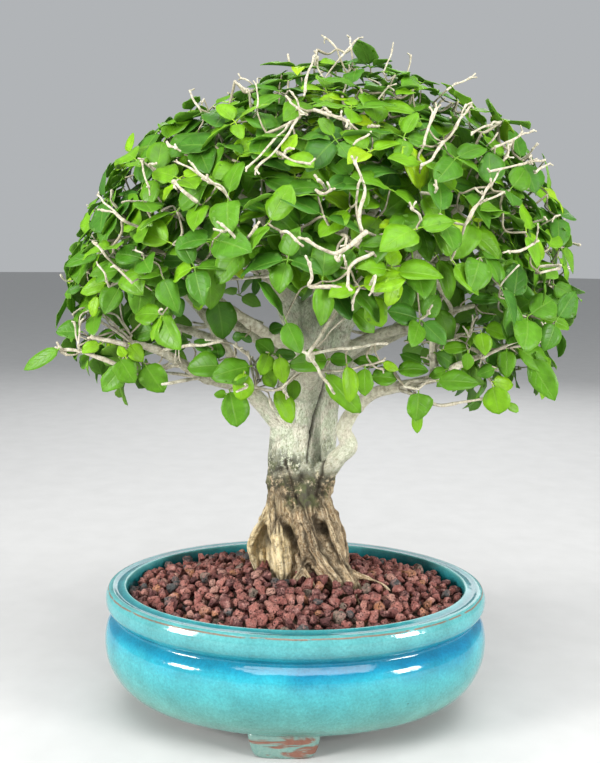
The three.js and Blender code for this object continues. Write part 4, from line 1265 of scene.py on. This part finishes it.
# Bare twigs that stand clear in the photograph: depth, radius in millimetres, and the picture
# places x, y, x, y and so on that they pass through
CLEAR_TWIGS = [
    (-56, 1.15, 254, 387, 266, 389, 283, 388, 291, 378, 299, 369), (-56, 0.9, 283, 388, 286, 393),
    (-57, 0.8, 297, 371, 303, 372), (-60, 1.1, 320, 372, 345, 369, 372, 365, 384, 360),
    (-60, 0.8, 372, 365, 383, 369), (-46, 0.75, 317, 347, 333, 330, 352, 312),
    (-40, 0.7, 346, 300, 334, 314, 322, 331), (DOME, 1.4, 306, 241, 320, 250, 334, 254, 348, 246, 366, 232),
    (DOME, 1.3, 336, 253, 338, 262), (DOME, 0.9, 345, 247, 346, 236),
    (DOME, 1.3, 309, 264, 312, 280, 309, 285, 330, 287, 352, 290),
    (DOME, 1.2, 347, 288, 348, 268, 358, 262, 373, 253), (DOME, 0.9, 350, 270, 345, 265),
    (DOME, 1.0, 369, 288, 374, 276, 371, 293),
    (DOME, 1.1, 354, 165, 361, 180, 365, 192, 358, 215, 362, 232),
    (DOME, 0.8, 361, 181, 357, 190, 356, 204), (DOME, 1.0, 305, 95, 307, 76, 313, 62, 317, 50),
    (DOME, 0.8, 324, 41, 331, 46, 337, 49), (DOME, 0.9, 340, 58, 350, 48, 358, 42),
    (DOME, 0.7, 351, 49, 349, 41), (DOME, 0.9, 286, 96, 296, 110, 307, 118), (DOME, 0.8, 292, 96, 299, 108),
    (DOME, 1.3, 314, 110, 330, 116, 348, 125), (DOME, 0.9, 330, 116, 325, 108),
    (DOME, 1.1, 340, 120, 352, 126), (DOME, 1.0, 424, 145, 428, 128, 432, 116),
    (DOME, 0.9, 428, 128, 435, 112), (DOME, 1.1, 420, 168, 431, 160, 443, 142),
    (DOME, 1.0, 455, 129, 461, 117, 469, 108), (DOME, 0.8, 461, 117, 464, 108),
    (DOME, 0.9, 447, 90, 458, 85, 469, 81), (DOME, 0.9, 470, 136, 487, 127, 502, 121),
    (DOME, 1.0, 495, 147, 513, 141, 531, 133), (DOME, 0.8, 513, 141, 520, 134),
    (DOME, 0.7, 505, 160, 508, 148, 512, 142), (DOME, 1.1, 465, 225, 476, 208, 482, 196, 489, 186),
    (DOME, 0.9, 482, 203, 495, 197, 504, 192), (DOME, 0.8, 480, 196, 475, 188),
    (DOME, 0.9, 487, 174, 510, 168, 528, 164, 545, 160), (DOME, 0.7, 528, 164, 531, 155),
    (DOME, 0.9, 536, 172, 547, 166), (DOME, 0.7, 550, 221, 560, 215),
    (DOME, 1.1, 316, 190, 325, 196, 331, 192), (DOME, 0.9, 355, 145, 363, 139, 371, 132),
    (DOME, 1.0, 410, 210, 416, 215, 421, 220), (DOME, 0.9, 191, 94, 195, 101, 200, 109),
    (DOME, 0.7, 204, 99, 203, 108), (DOME, 0.9, 235, 81, 241, 88, 249, 94),
    (DOME, 0.7, 256, 87, 259, 98, 257, 112), (DOME, 1.1, 167, 142, 172, 147, 178, 151),
    (DOME, 0.8, 142, 161, 146, 175, 151, 190), (DOME, 0.8, 141, 161, 145, 162),
    (DOME, 0.9, 179, 165, 198, 174, 217, 186), (DOME, 0.9, 193, 166, 206, 178, 222, 190),
    (DOME, 0.8, 247, 171, 262, 156, 278, 138, 291, 122),
    (DOME, 0.8, 256, 172, 272, 155, 288, 134, 298, 118), (DOME, 0.9, 277, 152, 293, 162, 310, 167),
    (DOME, 0.9, 100, 197, 110, 207, 122, 219), (DOME, 0.9, 104, 212, 114, 214, 124, 221),
    (DOME, 1.4, 175, 184, 185, 194, 197, 202), (DOME, 0.9, 178, 180, 176, 190),
    (DOME, 1.1, 222, 226, 230, 234, 240, 246), (DOME, 0.9, 226, 230, 222, 233),
    (DOME, 1.1, 244, 241, 250, 236, 257, 228), (DOME, 1.2, 281, 232, 288, 234, 297, 243),
    (DOME, 1.0, 96, 244, 102, 249, 107, 257), (DOME, 0.9, 116, 267, 124, 275, 132, 283),
    (DOME, 0.7, 100, 266, 107, 276, 109, 287), (-56, 0.8, 79, 349, 77, 336, 74, 322),
    (-56, 0.8, 78, 346, 80, 333, 81, 321), (-54, 1.7, 60, 350, 78, 351, 98, 357, 118, 365),
    (-54, 1.2, 62, 350, 59, 346), (-55, 1.1, 61, 352, 67, 355), (-54, 2.1, 92, 337, 108, 341, 127, 345),
    (-54, 1.2, 93, 337, 90, 331), (-52, 1.0, 100, 321, 114, 330, 128, 341),
    (-50, 1.2, 102, 314, 113, 325, 129, 338), (-49, 0.9, 100, 312, 116, 316, 130, 334),
    (-48, 0.8, 120, 305, 124, 322, 132, 336), (-50, 0.8, 109, 318, 119, 330),
    (-46, 0.6, 174, 342, 175, 350, 175, 358), (-46, 0.6, 179, 339, 179, 358),
    (-44, 1.3, 172, 366, 163, 369, 158, 364), (-50, 1.2, 234, 345, 245, 354, 256, 364, 258, 378),
    (-50, 0.9, 239, 349, 236, 343), (-51, 1.1, 250, 358, 253, 372, 256, 388),
    (-50, 0.8, 247, 352, 252, 366), (-20, 1.1, 270, 399, 272, 407),
    (-50, 1.0, 469, 337, 472, 330, 473, 322), (-50, 0.9, 469, 336, 466, 330),
    (-48, 1.2, 482, 358, 505, 345, 528, 337), (-46, 1.0, 510, 348, 540, 341, 546, 336, 544, 326),
    (-46, 1.0, 546, 336, 558, 333), (-40, 1.0, 432, 300, 436, 306, 443, 297),
    (-44, 1.2, 500, 298, 507, 291), (DOME, 1.0, 505, 253, 520, 251, 538, 241),
    (DOME, 0.7, 533, 247, 535, 233), (DOME, 1.0, 540, 273, 556, 270),
    (-44, 1.2, 397, 376, 404, 386, 412, 394), (-46, 1.3, 412, 394, 420, 397),
    (-54, 1.3, 428, 402, 440, 405, 462, 401, 483, 399), (-50, 1.2, 400, 390, 412, 394, 428, 403),
    (-48, 1.6, 440, 380, 425, 383, 412, 389), (-44, 0.9, 438, 366, 427, 358),
]

# How low ordinary foliage may show in the picture: column, lowest row
LOWEST = [
    (0, 280), (75, 288), (110, 292), (150, 280), (200, 272), (240, 258), (285, 262), (310, 278), (345, 296),
    (385, 292), (410, 280), (440, 268), (480, 272), (505, 300), (530, 322), (570, 322), (600, 300),
]

LEAF_NODES = 760
NODE_TRIES = 60000
NODE_SPACING = 16.0
NODE_INSETS = (5, 15)
LOWEST_WAY = -0.22
FOLIAGE_HEIGHTS = (236, 444)
NODE_BOTTOM = 240
SHORTEST_REACH = 60
# Nodes behind a clear leaf: how far behind, how near in pixels, lowest height, distance from the middle
BEHIND, HIDDEN_PIXELS, HIDDEN_BOTTOM, HIDDEN_ASIDE = 12, 10, 226, 95
# Where the shoots' own nodes lie past their seats, as a share of the shoot or in millimetres, and their rise
SKIRT_SHARE, SKIRT_RISE = 0.62, 12
INNER_NODE, OUTER_NODE, OUTER_RISE = 10, 26, 3
LOW_NODE, LOW_FRONT = 5, -50
DEEPER = [1.0, 1.0, 1.0, 1.8, 2.6]
# Limbs under this radius may carry foliage
THIN_LIMB = 8
NODE_HUB = np.array([12.0, 2.0, 262.0])
OUTWARD_HUB = np.array([12.0, 4.0, 255.0])
OUTWARD_STRETCH = np.array([1.0, 0.85, 1.05])
UP = np.array([0.0, 0.0, 1.0])
BARE_STUBS = 130
# The way to the wood counts for more than the way to a twig that is grown already
WOOD_GAP_WEIGHT = 1.15
CLEAR_STALK = 1.5
# Leaves in millimetres, shares of them that are missing, and how much smaller the young ones are
LEAF_LENGTHS = (17.5, 25.5)
LEAF_BREADTHS = (0.60, 0.82)
STALKS = (1.6, 3.2)
LEAF_MISSING, YOUNG_MISSING = 0.06, 0.25
YOUNG_SIZE, TOP_SIZE = 0.72, 0.9
TOP_HEIGHT = 400
YELLOW_SHARE, YELLOW_TONE = 0.02, 0.95
# Bare ends
STUB_LENGTHS, STUB_RADII = (8, 19), (0.5, 0.85)
FORK_LENGTHS = (1.8, 4.5)
FORKED_STUBS = 0.75


def leaf_nodes(taken):
    """Places of leaf pairs, spread over the foliage's shell, clear of the places already taken."""
    ways = unit(rng.normal(size=(NODE_TRIES, 3)))
    ways = ways[ways[:, 2] > LOWEST_WAY]
    reach = np.zeros(len(ways))
    for radius in np.arange(20.0, 260.0, 3.0):
        spots = NODE_HUB + ways * radius
        bottom, top = FOLIAGE_HEIGHTS
        inside = (canopy_share(spots) < 1) & (spots[:, 2] > bottom) & (spots[:, 2] < top)
        reach = np.where(inside, radius, reach)
    inset = rng.choice(DEEPER, len(ways)) * rng.uniform(*NODE_INSETS, len(ways))
    spots = NODE_HUB + ways * (reach - inset)[:, None]
    shown = picture_place(spots)
    lowest = np.interp(shown[:, 0], *np.array(LOWEST, float).T)
    # Lower places are used only where a clear leaf hides them from the front
    apart = np.full(len(spots), FAR)
    for px, py, depth, *_ in CLEAR_LEAVES:
        gone = np.hypot(shown[:, 0] - px, shown[:, 1] - py)
        apart = np.where(spots[:, 1] > depth + BEHIND, np.minimum(apart, gone), apart)
    good = (shown[:, 1] < lowest) & (spots[:, 2] > NODE_BOTTOM)
    hidden = (apart < HIDDEN_PIXELS) & (spots[:, 2] > HIDDEN_BOTTOM)
    good |= hidden & (np.abs(spots[:, 0]) > HIDDEN_ASIDE)
    found = keep_apart(spots[(reach > SHORTEST_REACH) & good], NODE_SPACING, LEAF_NODES, taken)
    return found + seat_nodes()


def seat_nodes():
    """Leaf pairs at the seats of the shoots, so that each shoot has some leaves."""
    found = []
    for name, seat, tip, _ in SEATS:
        heading = unit(tip - seat)
        if "_skirt_" in name:
            found.append(seat + (tip - seat) * SKIRT_SHARE + UP * SKIRT_RISE)
        elif "_low_" not in name:
            found += [seat + heading * INNER_NODE, seat + heading * OUTER_NODE + UP * OUTER_RISE]
        elif tip[1] > LOW_FRONT:
            found.append(seat + heading * LOW_NODE)
    return found


def outward(spot):
    return unit((spot - OUTWARD_HUB) / OUTWARD_STRETCH)


def clear_leaf(row):
    """Base and direction of a leaf placed in the picture, and the millimetres of a pixel there."""
    px, py, depth, length, _, degrees, _ = row
    angle = math.radians(degrees)
    pointing = RIGHT * math.cos(angle) + UPWARD * math.sin(angle)
    scale = (depth - EYE[1]) / FOCAL_PIXELS
    return seen(px, py, depth) - pointing * (length * scale * 0.5 + CLEAR_STALK), pointing, scale


def make_goals(starts):
    """Places that twigs have to reach: each with its kind, and the row of its leaf or bare twig."""
    goals = [(clear_leaf(row)[0], "leaf", row) for row in CLEAR_LEAVES]
    for depth, radius, *numbers in CLEAR_TWIGS:
        line = list(zip(numbers[::2], numbers[1::2]))
        ends = [picture_spot(*line[i], depth, 6.0) for i in (0, -1)]
        first_is_root = np.argmin([np.min(np.linalg.norm(starts - end, axis=1)) for end in ends]) == 0
        if first_is_root:
            goals.append((ends[0], "twig", (depth, radius, line)))
        else:
            goals.append((ends[1], "twig", (depth, radius, line[::-1])))
    taken = [seen(*row[:3]) for row in CLEAR_LEAVES]
    return goals + [(spot, "pair", None) for spot in leaf_nodes(taken)]


def join_goals(places, kinds, starts):
    """Each goal in turn joins the nearest wood or twig already grown: their order and parents.

    A parent is the number of a place in starts or, counted on past those, of an earlier goal.
    """
    count = len(places)
    parent = np.zeros(count, int)
    gap = np.zeros(count)
    for i, place in enumerate(places):
        away = np.linalg.norm(starts - place, axis=1)
        parent[i] = np.argmin(away)
        gap[i] = away[parent[i]] * WOOD_GAP_WEIGHT
    done = np.zeros(count, bool)
    order = []
    for _ in range(count):
        pick = int(np.argmin(np.where(done, FAR, gap)))
        done[pick] = True
        order.append(pick)
        if kinds[pick] != "leaf":
            away = np.linalg.norm(places - places[pick], axis=1)
            closer = (away < gap) & ~done
            gap[closer] = away[closer]
            parent[closer] = len(starts) + pick
    return order, parent


def grow_foliage(foliage, wood_rows):
    """Twigs that reach every goal from the wood, then the leaves and the bare stubs."""
    thin = wood_rows[wood_rows[:, RADIUS] < THIN_LIMB]
    branchlets = [strand(branchlet, 3.0) for *_, branchlet in SEATS]
    starts = np.vstack([thin[:, PLACE], *(path for path, _ in branchlets)])
    sizes = np.concatenate([thin[:, RADIUS], *(radii for _, radii in branchlets)])
    goals = make_goals(starts)
    places = np.array([place for place, _, _ in goals])
    kinds = [kind for _, kind, _ in goals]
    order, parent = join_goals(places, kinds, starts)

    # How many goals each twig carries
    load = np.ones(len(goals))
    for pick in reversed(order):
        if parent[pick] >= len(starts):
            load[parent[pick] - len(starts)] += load[pick]
    directions = {}
    for pick in order:
        end = places[pick]
        if parent[pick] < len(starts):
            origin = starts[parent[pick]]
            lead = unit(end - origin)
            foot_radius = min(0.5 + 0.11 * math.sqrt(load[pick]), 1.3, sizes[parent[pick]] * 0.8)
        else:
            origin = places[parent[pick] - len(starts)]
            lead = directions[parent[pick] - len(starts)]
            foot_radius = min(0.42 + 0.11 * math.sqrt(load[pick]), 1.2)
        gone = np.linalg.norm(end - origin)
        directions[pick] = unit(end - origin)
        if gone < SHORTEST_TWIG:
            continue
        tip_radius = min(0.40 + 0.10 * math.sqrt(max(load[pick] - 1, 0.4)), 1.1)
        middle = (origin + end) / 2 + lead * gone * 0.12 - outward(end) * min(gone * 0.28, 5)
        middle = middle + rng.normal(size=3) * gone * 0.05
        line = [(*origin, foot_radius), (*middle, (foot_radius + tip_radius) / 2), (*end, tip_radius)]
        path, radii = knobbly(*strand(line, 2.4), 0.8)
        foliage.add_twig(path, radii, end, bleach=rng.uniform(0.1, 0.6))

    for i, (place, kind, row) in enumerate(goals):
        if kind == "leaf":
            add_clear_leaf(foliage, place, row)
        elif kind == "twig":
            add_clear_twig(foliage, place, *row)
        else:
            add_pair(foliage, place, directions[i], terminal=load[i] == 1)
    add_stubs(foliage, [place for place, kind, _ in goals if kind == "pair"])


def add_clear_leaf(foliage, place, row):
    _, pointing, scale = clear_leaf(row)
    _, _, _, length, width, _, tone = row
    way = unit(pointing - FORWARD * rng.uniform(-0.25, 0.25))
    face = -FORWARD + UPWARD * rng.uniform(0.1, 0.6) + RIGHT * rng.uniform(-0.3, 0.3)
    size = (length * scale * 1.04, width * scale * 1.06)
    foliage.add_leaf(place, way, face, *size, tone, owner=place, stalk=CLEAR_STALK)


def add_clear_twig(foliage, place, depth, radius, line):
    """A bare twig through places in the picture. On the dome it grows towards the viewer."""
    spots = np.array([picture_spot(*spot, depth, 4.0) for spot in line])
    spots[0] = place
    ease = np.linspace(0, 1, len(spots))[:, None]
    if depth is DOME:
        spots -= FORWARD * 7.0 * ease
    width = radius * 0.74 * (1.08 - 0.25 * ease)
    path, radii = knobbly(*strand(np.hstack([spots, width]), 1.4))
    radii[-2:] *= 1.35
    foliage.add_twig(path, radii, spots[-1], sides=7)
    add_forks(foliage, path, radii)


def add_forks(foliage, path, radii):
    """Short cut ends where a bare twig once forked."""
    end = path[-1]
    way = unit(path[-1] - path[-3])
    for _ in range(rng.integers(1, 3)):
        aside = unit(way + rng.normal(size=3) * 0.75)
        length = rng.uniform(*FORK_LENGTHS)
        fork = np.array([end - way * 0.8, end + aside * length * 0.5, end + aside * length])
        foliage.add_twig(fork, radii[-3] * np.array([0.9, 0.75, 0.95]), end)


def add_pair(foliage, spot, direction, terminal):
    """Opposite leaves at a node, and a younger pair where the twig ends there."""
    out = outward(spot)
    side = np.cross(direction, out)
    side = unit(side) if np.linalg.norm(side) > 0.2 else unit(np.cross(out, UP + 0.1))
    spin = rng.uniform(0, FULL_TURN)
    side = side * math.cos(spin) + unit(np.cross(side, out)) * math.sin(spin)
    age = rng.random()
    pairs = [(side, False), (np.cross(side, out), True)] if terminal else [(side, False)]
    for axis, young in pairs:
        if young and rng.random() < YOUNG_MISSING:
            continue
        for sign in (-1, 1):
            if rng.random() < LEAF_MISSING:
                continue
            way = axis * sign + out * rng.uniform(0.0, 0.55) - UP * rng.uniform(-0.1, 0.45)
            way = unit(way + rng.normal(size=3) * 0.12)
            face = out * 0.75 + UP * 0.55 + rng.normal(size=3) * 0.26
            length = rng.uniform(*LEAF_LENGTHS) * (YOUNG_SIZE if young else 1)
            length *= TOP_SIZE if spot[2] > TOP_HEIGHT else 1
            width = length * rng.uniform(*LEAF_BREADTHS)
            tone = np.clip(0.18 + 0.55 * age**1.2 + rng.normal() * 0.09, 0.02, 0.95)
            if young:
                tone = np.clip(tone + rng.uniform(0.1, 0.4), 0, 1)
            elif rng.random() < YELLOW_SHARE:
                tone = YELLOW_TONE
            base = spot + way * 0.3
            foliage.add_leaf(base, way, face, length, width, tone, owner=spot, stalk=rng.uniform(*STALKS))


def add_stubs(foliage, spots):
    """Bare, pruned twig ends that stand out of the foliage all round."""
    for i in rng.choice(len(spots), BARE_STUBS, replace=False):
        spot = spots[i]
        way = unit(outward(spot) + rng.normal(size=3) * 0.45 + UP * 0.15)
        length = rng.uniform(*STUB_LENGTHS)
        bend = unit(way + rng.normal(size=3) * 0.5)
        middle = spot + way * length * 0.55
        end = middle + bend * length * 0.45
        radius = rng.uniform(*STUB_RADII)
        line = [(*spot, radius), (*middle, radius * 0.9), (*end, radius * 0.85)]
        path, radii = knobbly(*strand(line, 1.5))
        radii[-2:] *= 1.3
        foliage.add_twig(path, radii, spot)
        if rng.random() < FORKED_STUBS:
            add_forks(foliage, path, radii)


def leaf_material():
    paint = Paint("leaf")
    up, across, tone, under = (paint.mark(name) for name in ("leaf_up", "leaf_across", "tone", "under"))
    colour = paint.ramp(tone, [
        (0.0, (0.035, 0.135, 0.014)), (0.25, (0.058, 0.195, 0.010)), (0.5, (0.100, 0.275, 0.008)),
        (0.75, (0.165, 0.385, 0.006)), (0.9, (0.245, 0.480, 0.006)), (1.0, (0.33, 0.52, 0.010)),
    ])
    # Midrib, and side veins that leave it at a slant
    middle = abs(across - 0.5) * 2.0
    rib = 1.0 - paint.step(middle, 0.02, 0.09)
    wave = abs(maths("FRACT", up * 5.0 - middle * 1.5) - 0.5)
    vein = (1.0 - paint.step(wave, 0.0, 0.09)) * (1.0 - paint.step(middle, 0.75, 0.98))
    blotch = paint.clouds(paint.place(), 150, 3, 0.6)
    colour = paint.shade(colour, paint.spread(blotch, 0.80, 1.22))
    paler = paint.mix(0.5, colour, (0.28, 0.48, 0.07))
    for share in (rib * 0.45, vein * 0.18, paint.step(middle, 0.90, 1.0) * 0.45):
        colour = paint.mix(share, colour, paler)
    colour = paint.mix(under * 0.35, colour, (0.19, 0.36, 0.07))
    rough = paint.spread(blotch, 0.36, 0.52) + under * 0.2
    relief = blotch * 0.5 - (rib * 0.8 + vein * 0.5)
    paint.finish(colour, relief, 0.0004, 0.5, Roughness=rough, Specular_IOR_Level=0.3)
    # Light shines through the leaves
    glow = paint.value("BsdfTranslucent", {"Color": paint.mix(0.45, colour, (0.35, 0.62, 0.01))})
    blend = paint.value("MixShader", {0: 0.22, 1: Value(paint.shader.outputs[0]), 2: glow})
    paint.tree.links.new(blend.socket, paint.tree.nodes["Material Output"].inputs["Surface"])
    return paint.material


def twig_material():
    paint = Paint("twig_bark")
    here = paint.place()
    spots = paint.clouds(here, 420, 4, 0.65)
    brown = paint.ramp(spots, [
        (0.3, (0.17, 0.15, 0.09)), (0.55, (0.30, 0.27, 0.18)), (0.75, (0.42, 0.38, 0.28)),
    ])
    white = paint.ramp(spots, [
        (0.28, (0.24, 0.205, 0.145)), (0.5, (0.46, 0.42, 0.32)), (0.72, (0.66, 0.63, 0.52)),
    ])
    colour = paint.mix(paint.mark("bleach"), brown, white)
    relief = spots + paint.clouds(here, 1500, 2)
    return paint.finish(colour, relief, 0.0004, 0.6, Roughness=0.72, Specular_IOR_Level=0.3)


def soil_material():
    paint = Paint("soil")
    grit = paint.clouds(paint.place(), 380, 4, 0.7)
    colour = paint.ramp(grit, [
        (0.3, (0.025, 0.016, 0.010)), (0.5, (0.075, 0.048, 0.030)), (0.7, (0.18, 0.13, 0.09)),
    ])
    return paint.finish(colour, grit, 0.0015, 0.9, Roughness=0.95)


def screen_material():
    paint = Paint("screen_mesh")
    scuff = paint.clouds(paint.place(), 500, 3, 0.6)
    colour = paint.ramp(scuff, [(0.35, (0.012, 0.013, 0.012)), (0.7, (0.04, 0.042, 0.040))])
    return paint.finish(colour, scuff, 0.0002, 0.5, Roughness=0.5)


# Stage, in metres
FLOOR_SIDES = 96
FLOOR_RADIUS = 9.0
SENSOR_WIDTH = 36
FARTHEST_SEEN = 50
LIGHTS = [
    ("softbox_left", (-1.10, -0.70, 0.52), (0, 0, 0.16), (0.36, 0.42), 23, (1.0, 0.985, 0.96)),
    ("softbox_right", (1.10, -0.74, 0.46), (0, 0, 0.16), (0.34, 0.42), 18, (1.0, 0.985, 0.96)),
    ("overhead", (0.1, -0.55, 1.45), (0, 0, 0.22), (1.3, 1.0), 23, (1, 1, 1)),
    ("back_fill", (0.2, 1.3, 0.9), (0, 0, 0.25), (1.2, 0.9), 9, (1, 1, 1)),
]


def make_floor():
    floor = Mesh()
    angle = circle(FLOOR_SIDES)
    ring = np.stack([np.cos(angle), np.sin(angle), 0 * angle], 1) * FLOOR_RADIUS / MM
    floor.add(ring, [list(range(FLOOR_SIDES))])
    item = floor.make("studio_floor", smooth=False)
    paint = Paint("studio_floor")
    fleck = paint.clouds(paint.place(), 30, 3)
    colour = paint.ramp(fleck, [(0.3, (0.47, 0.47, 0.465)), (0.7, (0.50, 0.50, 0.495))])
    paint.tree.links.new(colour.socket, paint.shader.inputs["Base Color"])
    paint.shader.inputs["Roughness"].default_value = 0.85
    dress(item, paint.material)


def make_lights():
    world = bpy.data.worlds.new("studio")
    bpy.context.scene.world = world
    world.use_nodes = True
    background = world.node_tree.nodes["Background"].inputs
    background["Color"].default_value = (0.80, 0.83, 0.86, 1)
    background["Strength"].default_value = 0.55
    for name, spot, aim, size, power, tint in LIGHTS:
        data = bpy.data.lights.new(name, "AREA")
        data.shape = "RECTANGLE"
        data.size, data.size_y = size
        data.energy = power
        data.color = tint
        lamp = bpy.data.objects.new(name, data)
        lamp.location = spot
        lamp.rotation_euler = (Vector(aim) - Vector(spot)).to_track_quat("-Z", "Y").to_euler()
        bpy.context.scene.collection.objects.link(lamp)


def make_camera():
    lens = bpy.data.cameras.new("camera")
    lens.sensor_width = SENSOR_WIDTH
    lens.sensor_fit = "AUTO"
    lens.lens = FOCAL_PIXELS * SENSOR_WIDTH / max(PICTURE)
    lens.clip_end = FARTHEST_SEEN
    camera = bpy.data.objects.new("camera", lens)
    camera.matrix_world = Matrix.Translation(Vector(CAMERA_PLACE) * MM) @ camera_turn().to_4x4()
    bpy.context.scene.collection.objects.link(camera)
    bpy.context.scene.camera = camera


for leftover in ("Cube", "Light", "Camera"):
    if leftover in bpy.data.objects:
        bpy.data.objects.remove(bpy.data.objects[leftover])

make_floor()
make_lights()
make_camera()
bpy.context.scene.view_settings.view_transform = "Standard"

pot = make_pot()
dress(pot, glaze_material())
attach(pot, "root")
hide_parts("pot")

dress(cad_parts["potting_soil"], soil_material())
screens = screen_material()
for side in ("left", "right"):
    dress(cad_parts[f"drainage_screen_{side}"], screens)

wood, wood_rows = make_wood()
dress(wood, bark_material())
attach(wood, "root")
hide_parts("tree_wood")

lava = lava_material()
gravel = make_gravel(wood_rows)
for stones in gravel:
    dress(stones, lava)
    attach(stones, "root")
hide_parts("lava_gravel")

foliage = Foliage()
grow_foliage(foliage, wood_rows)
foliage.make(leaf_material(), twig_material())
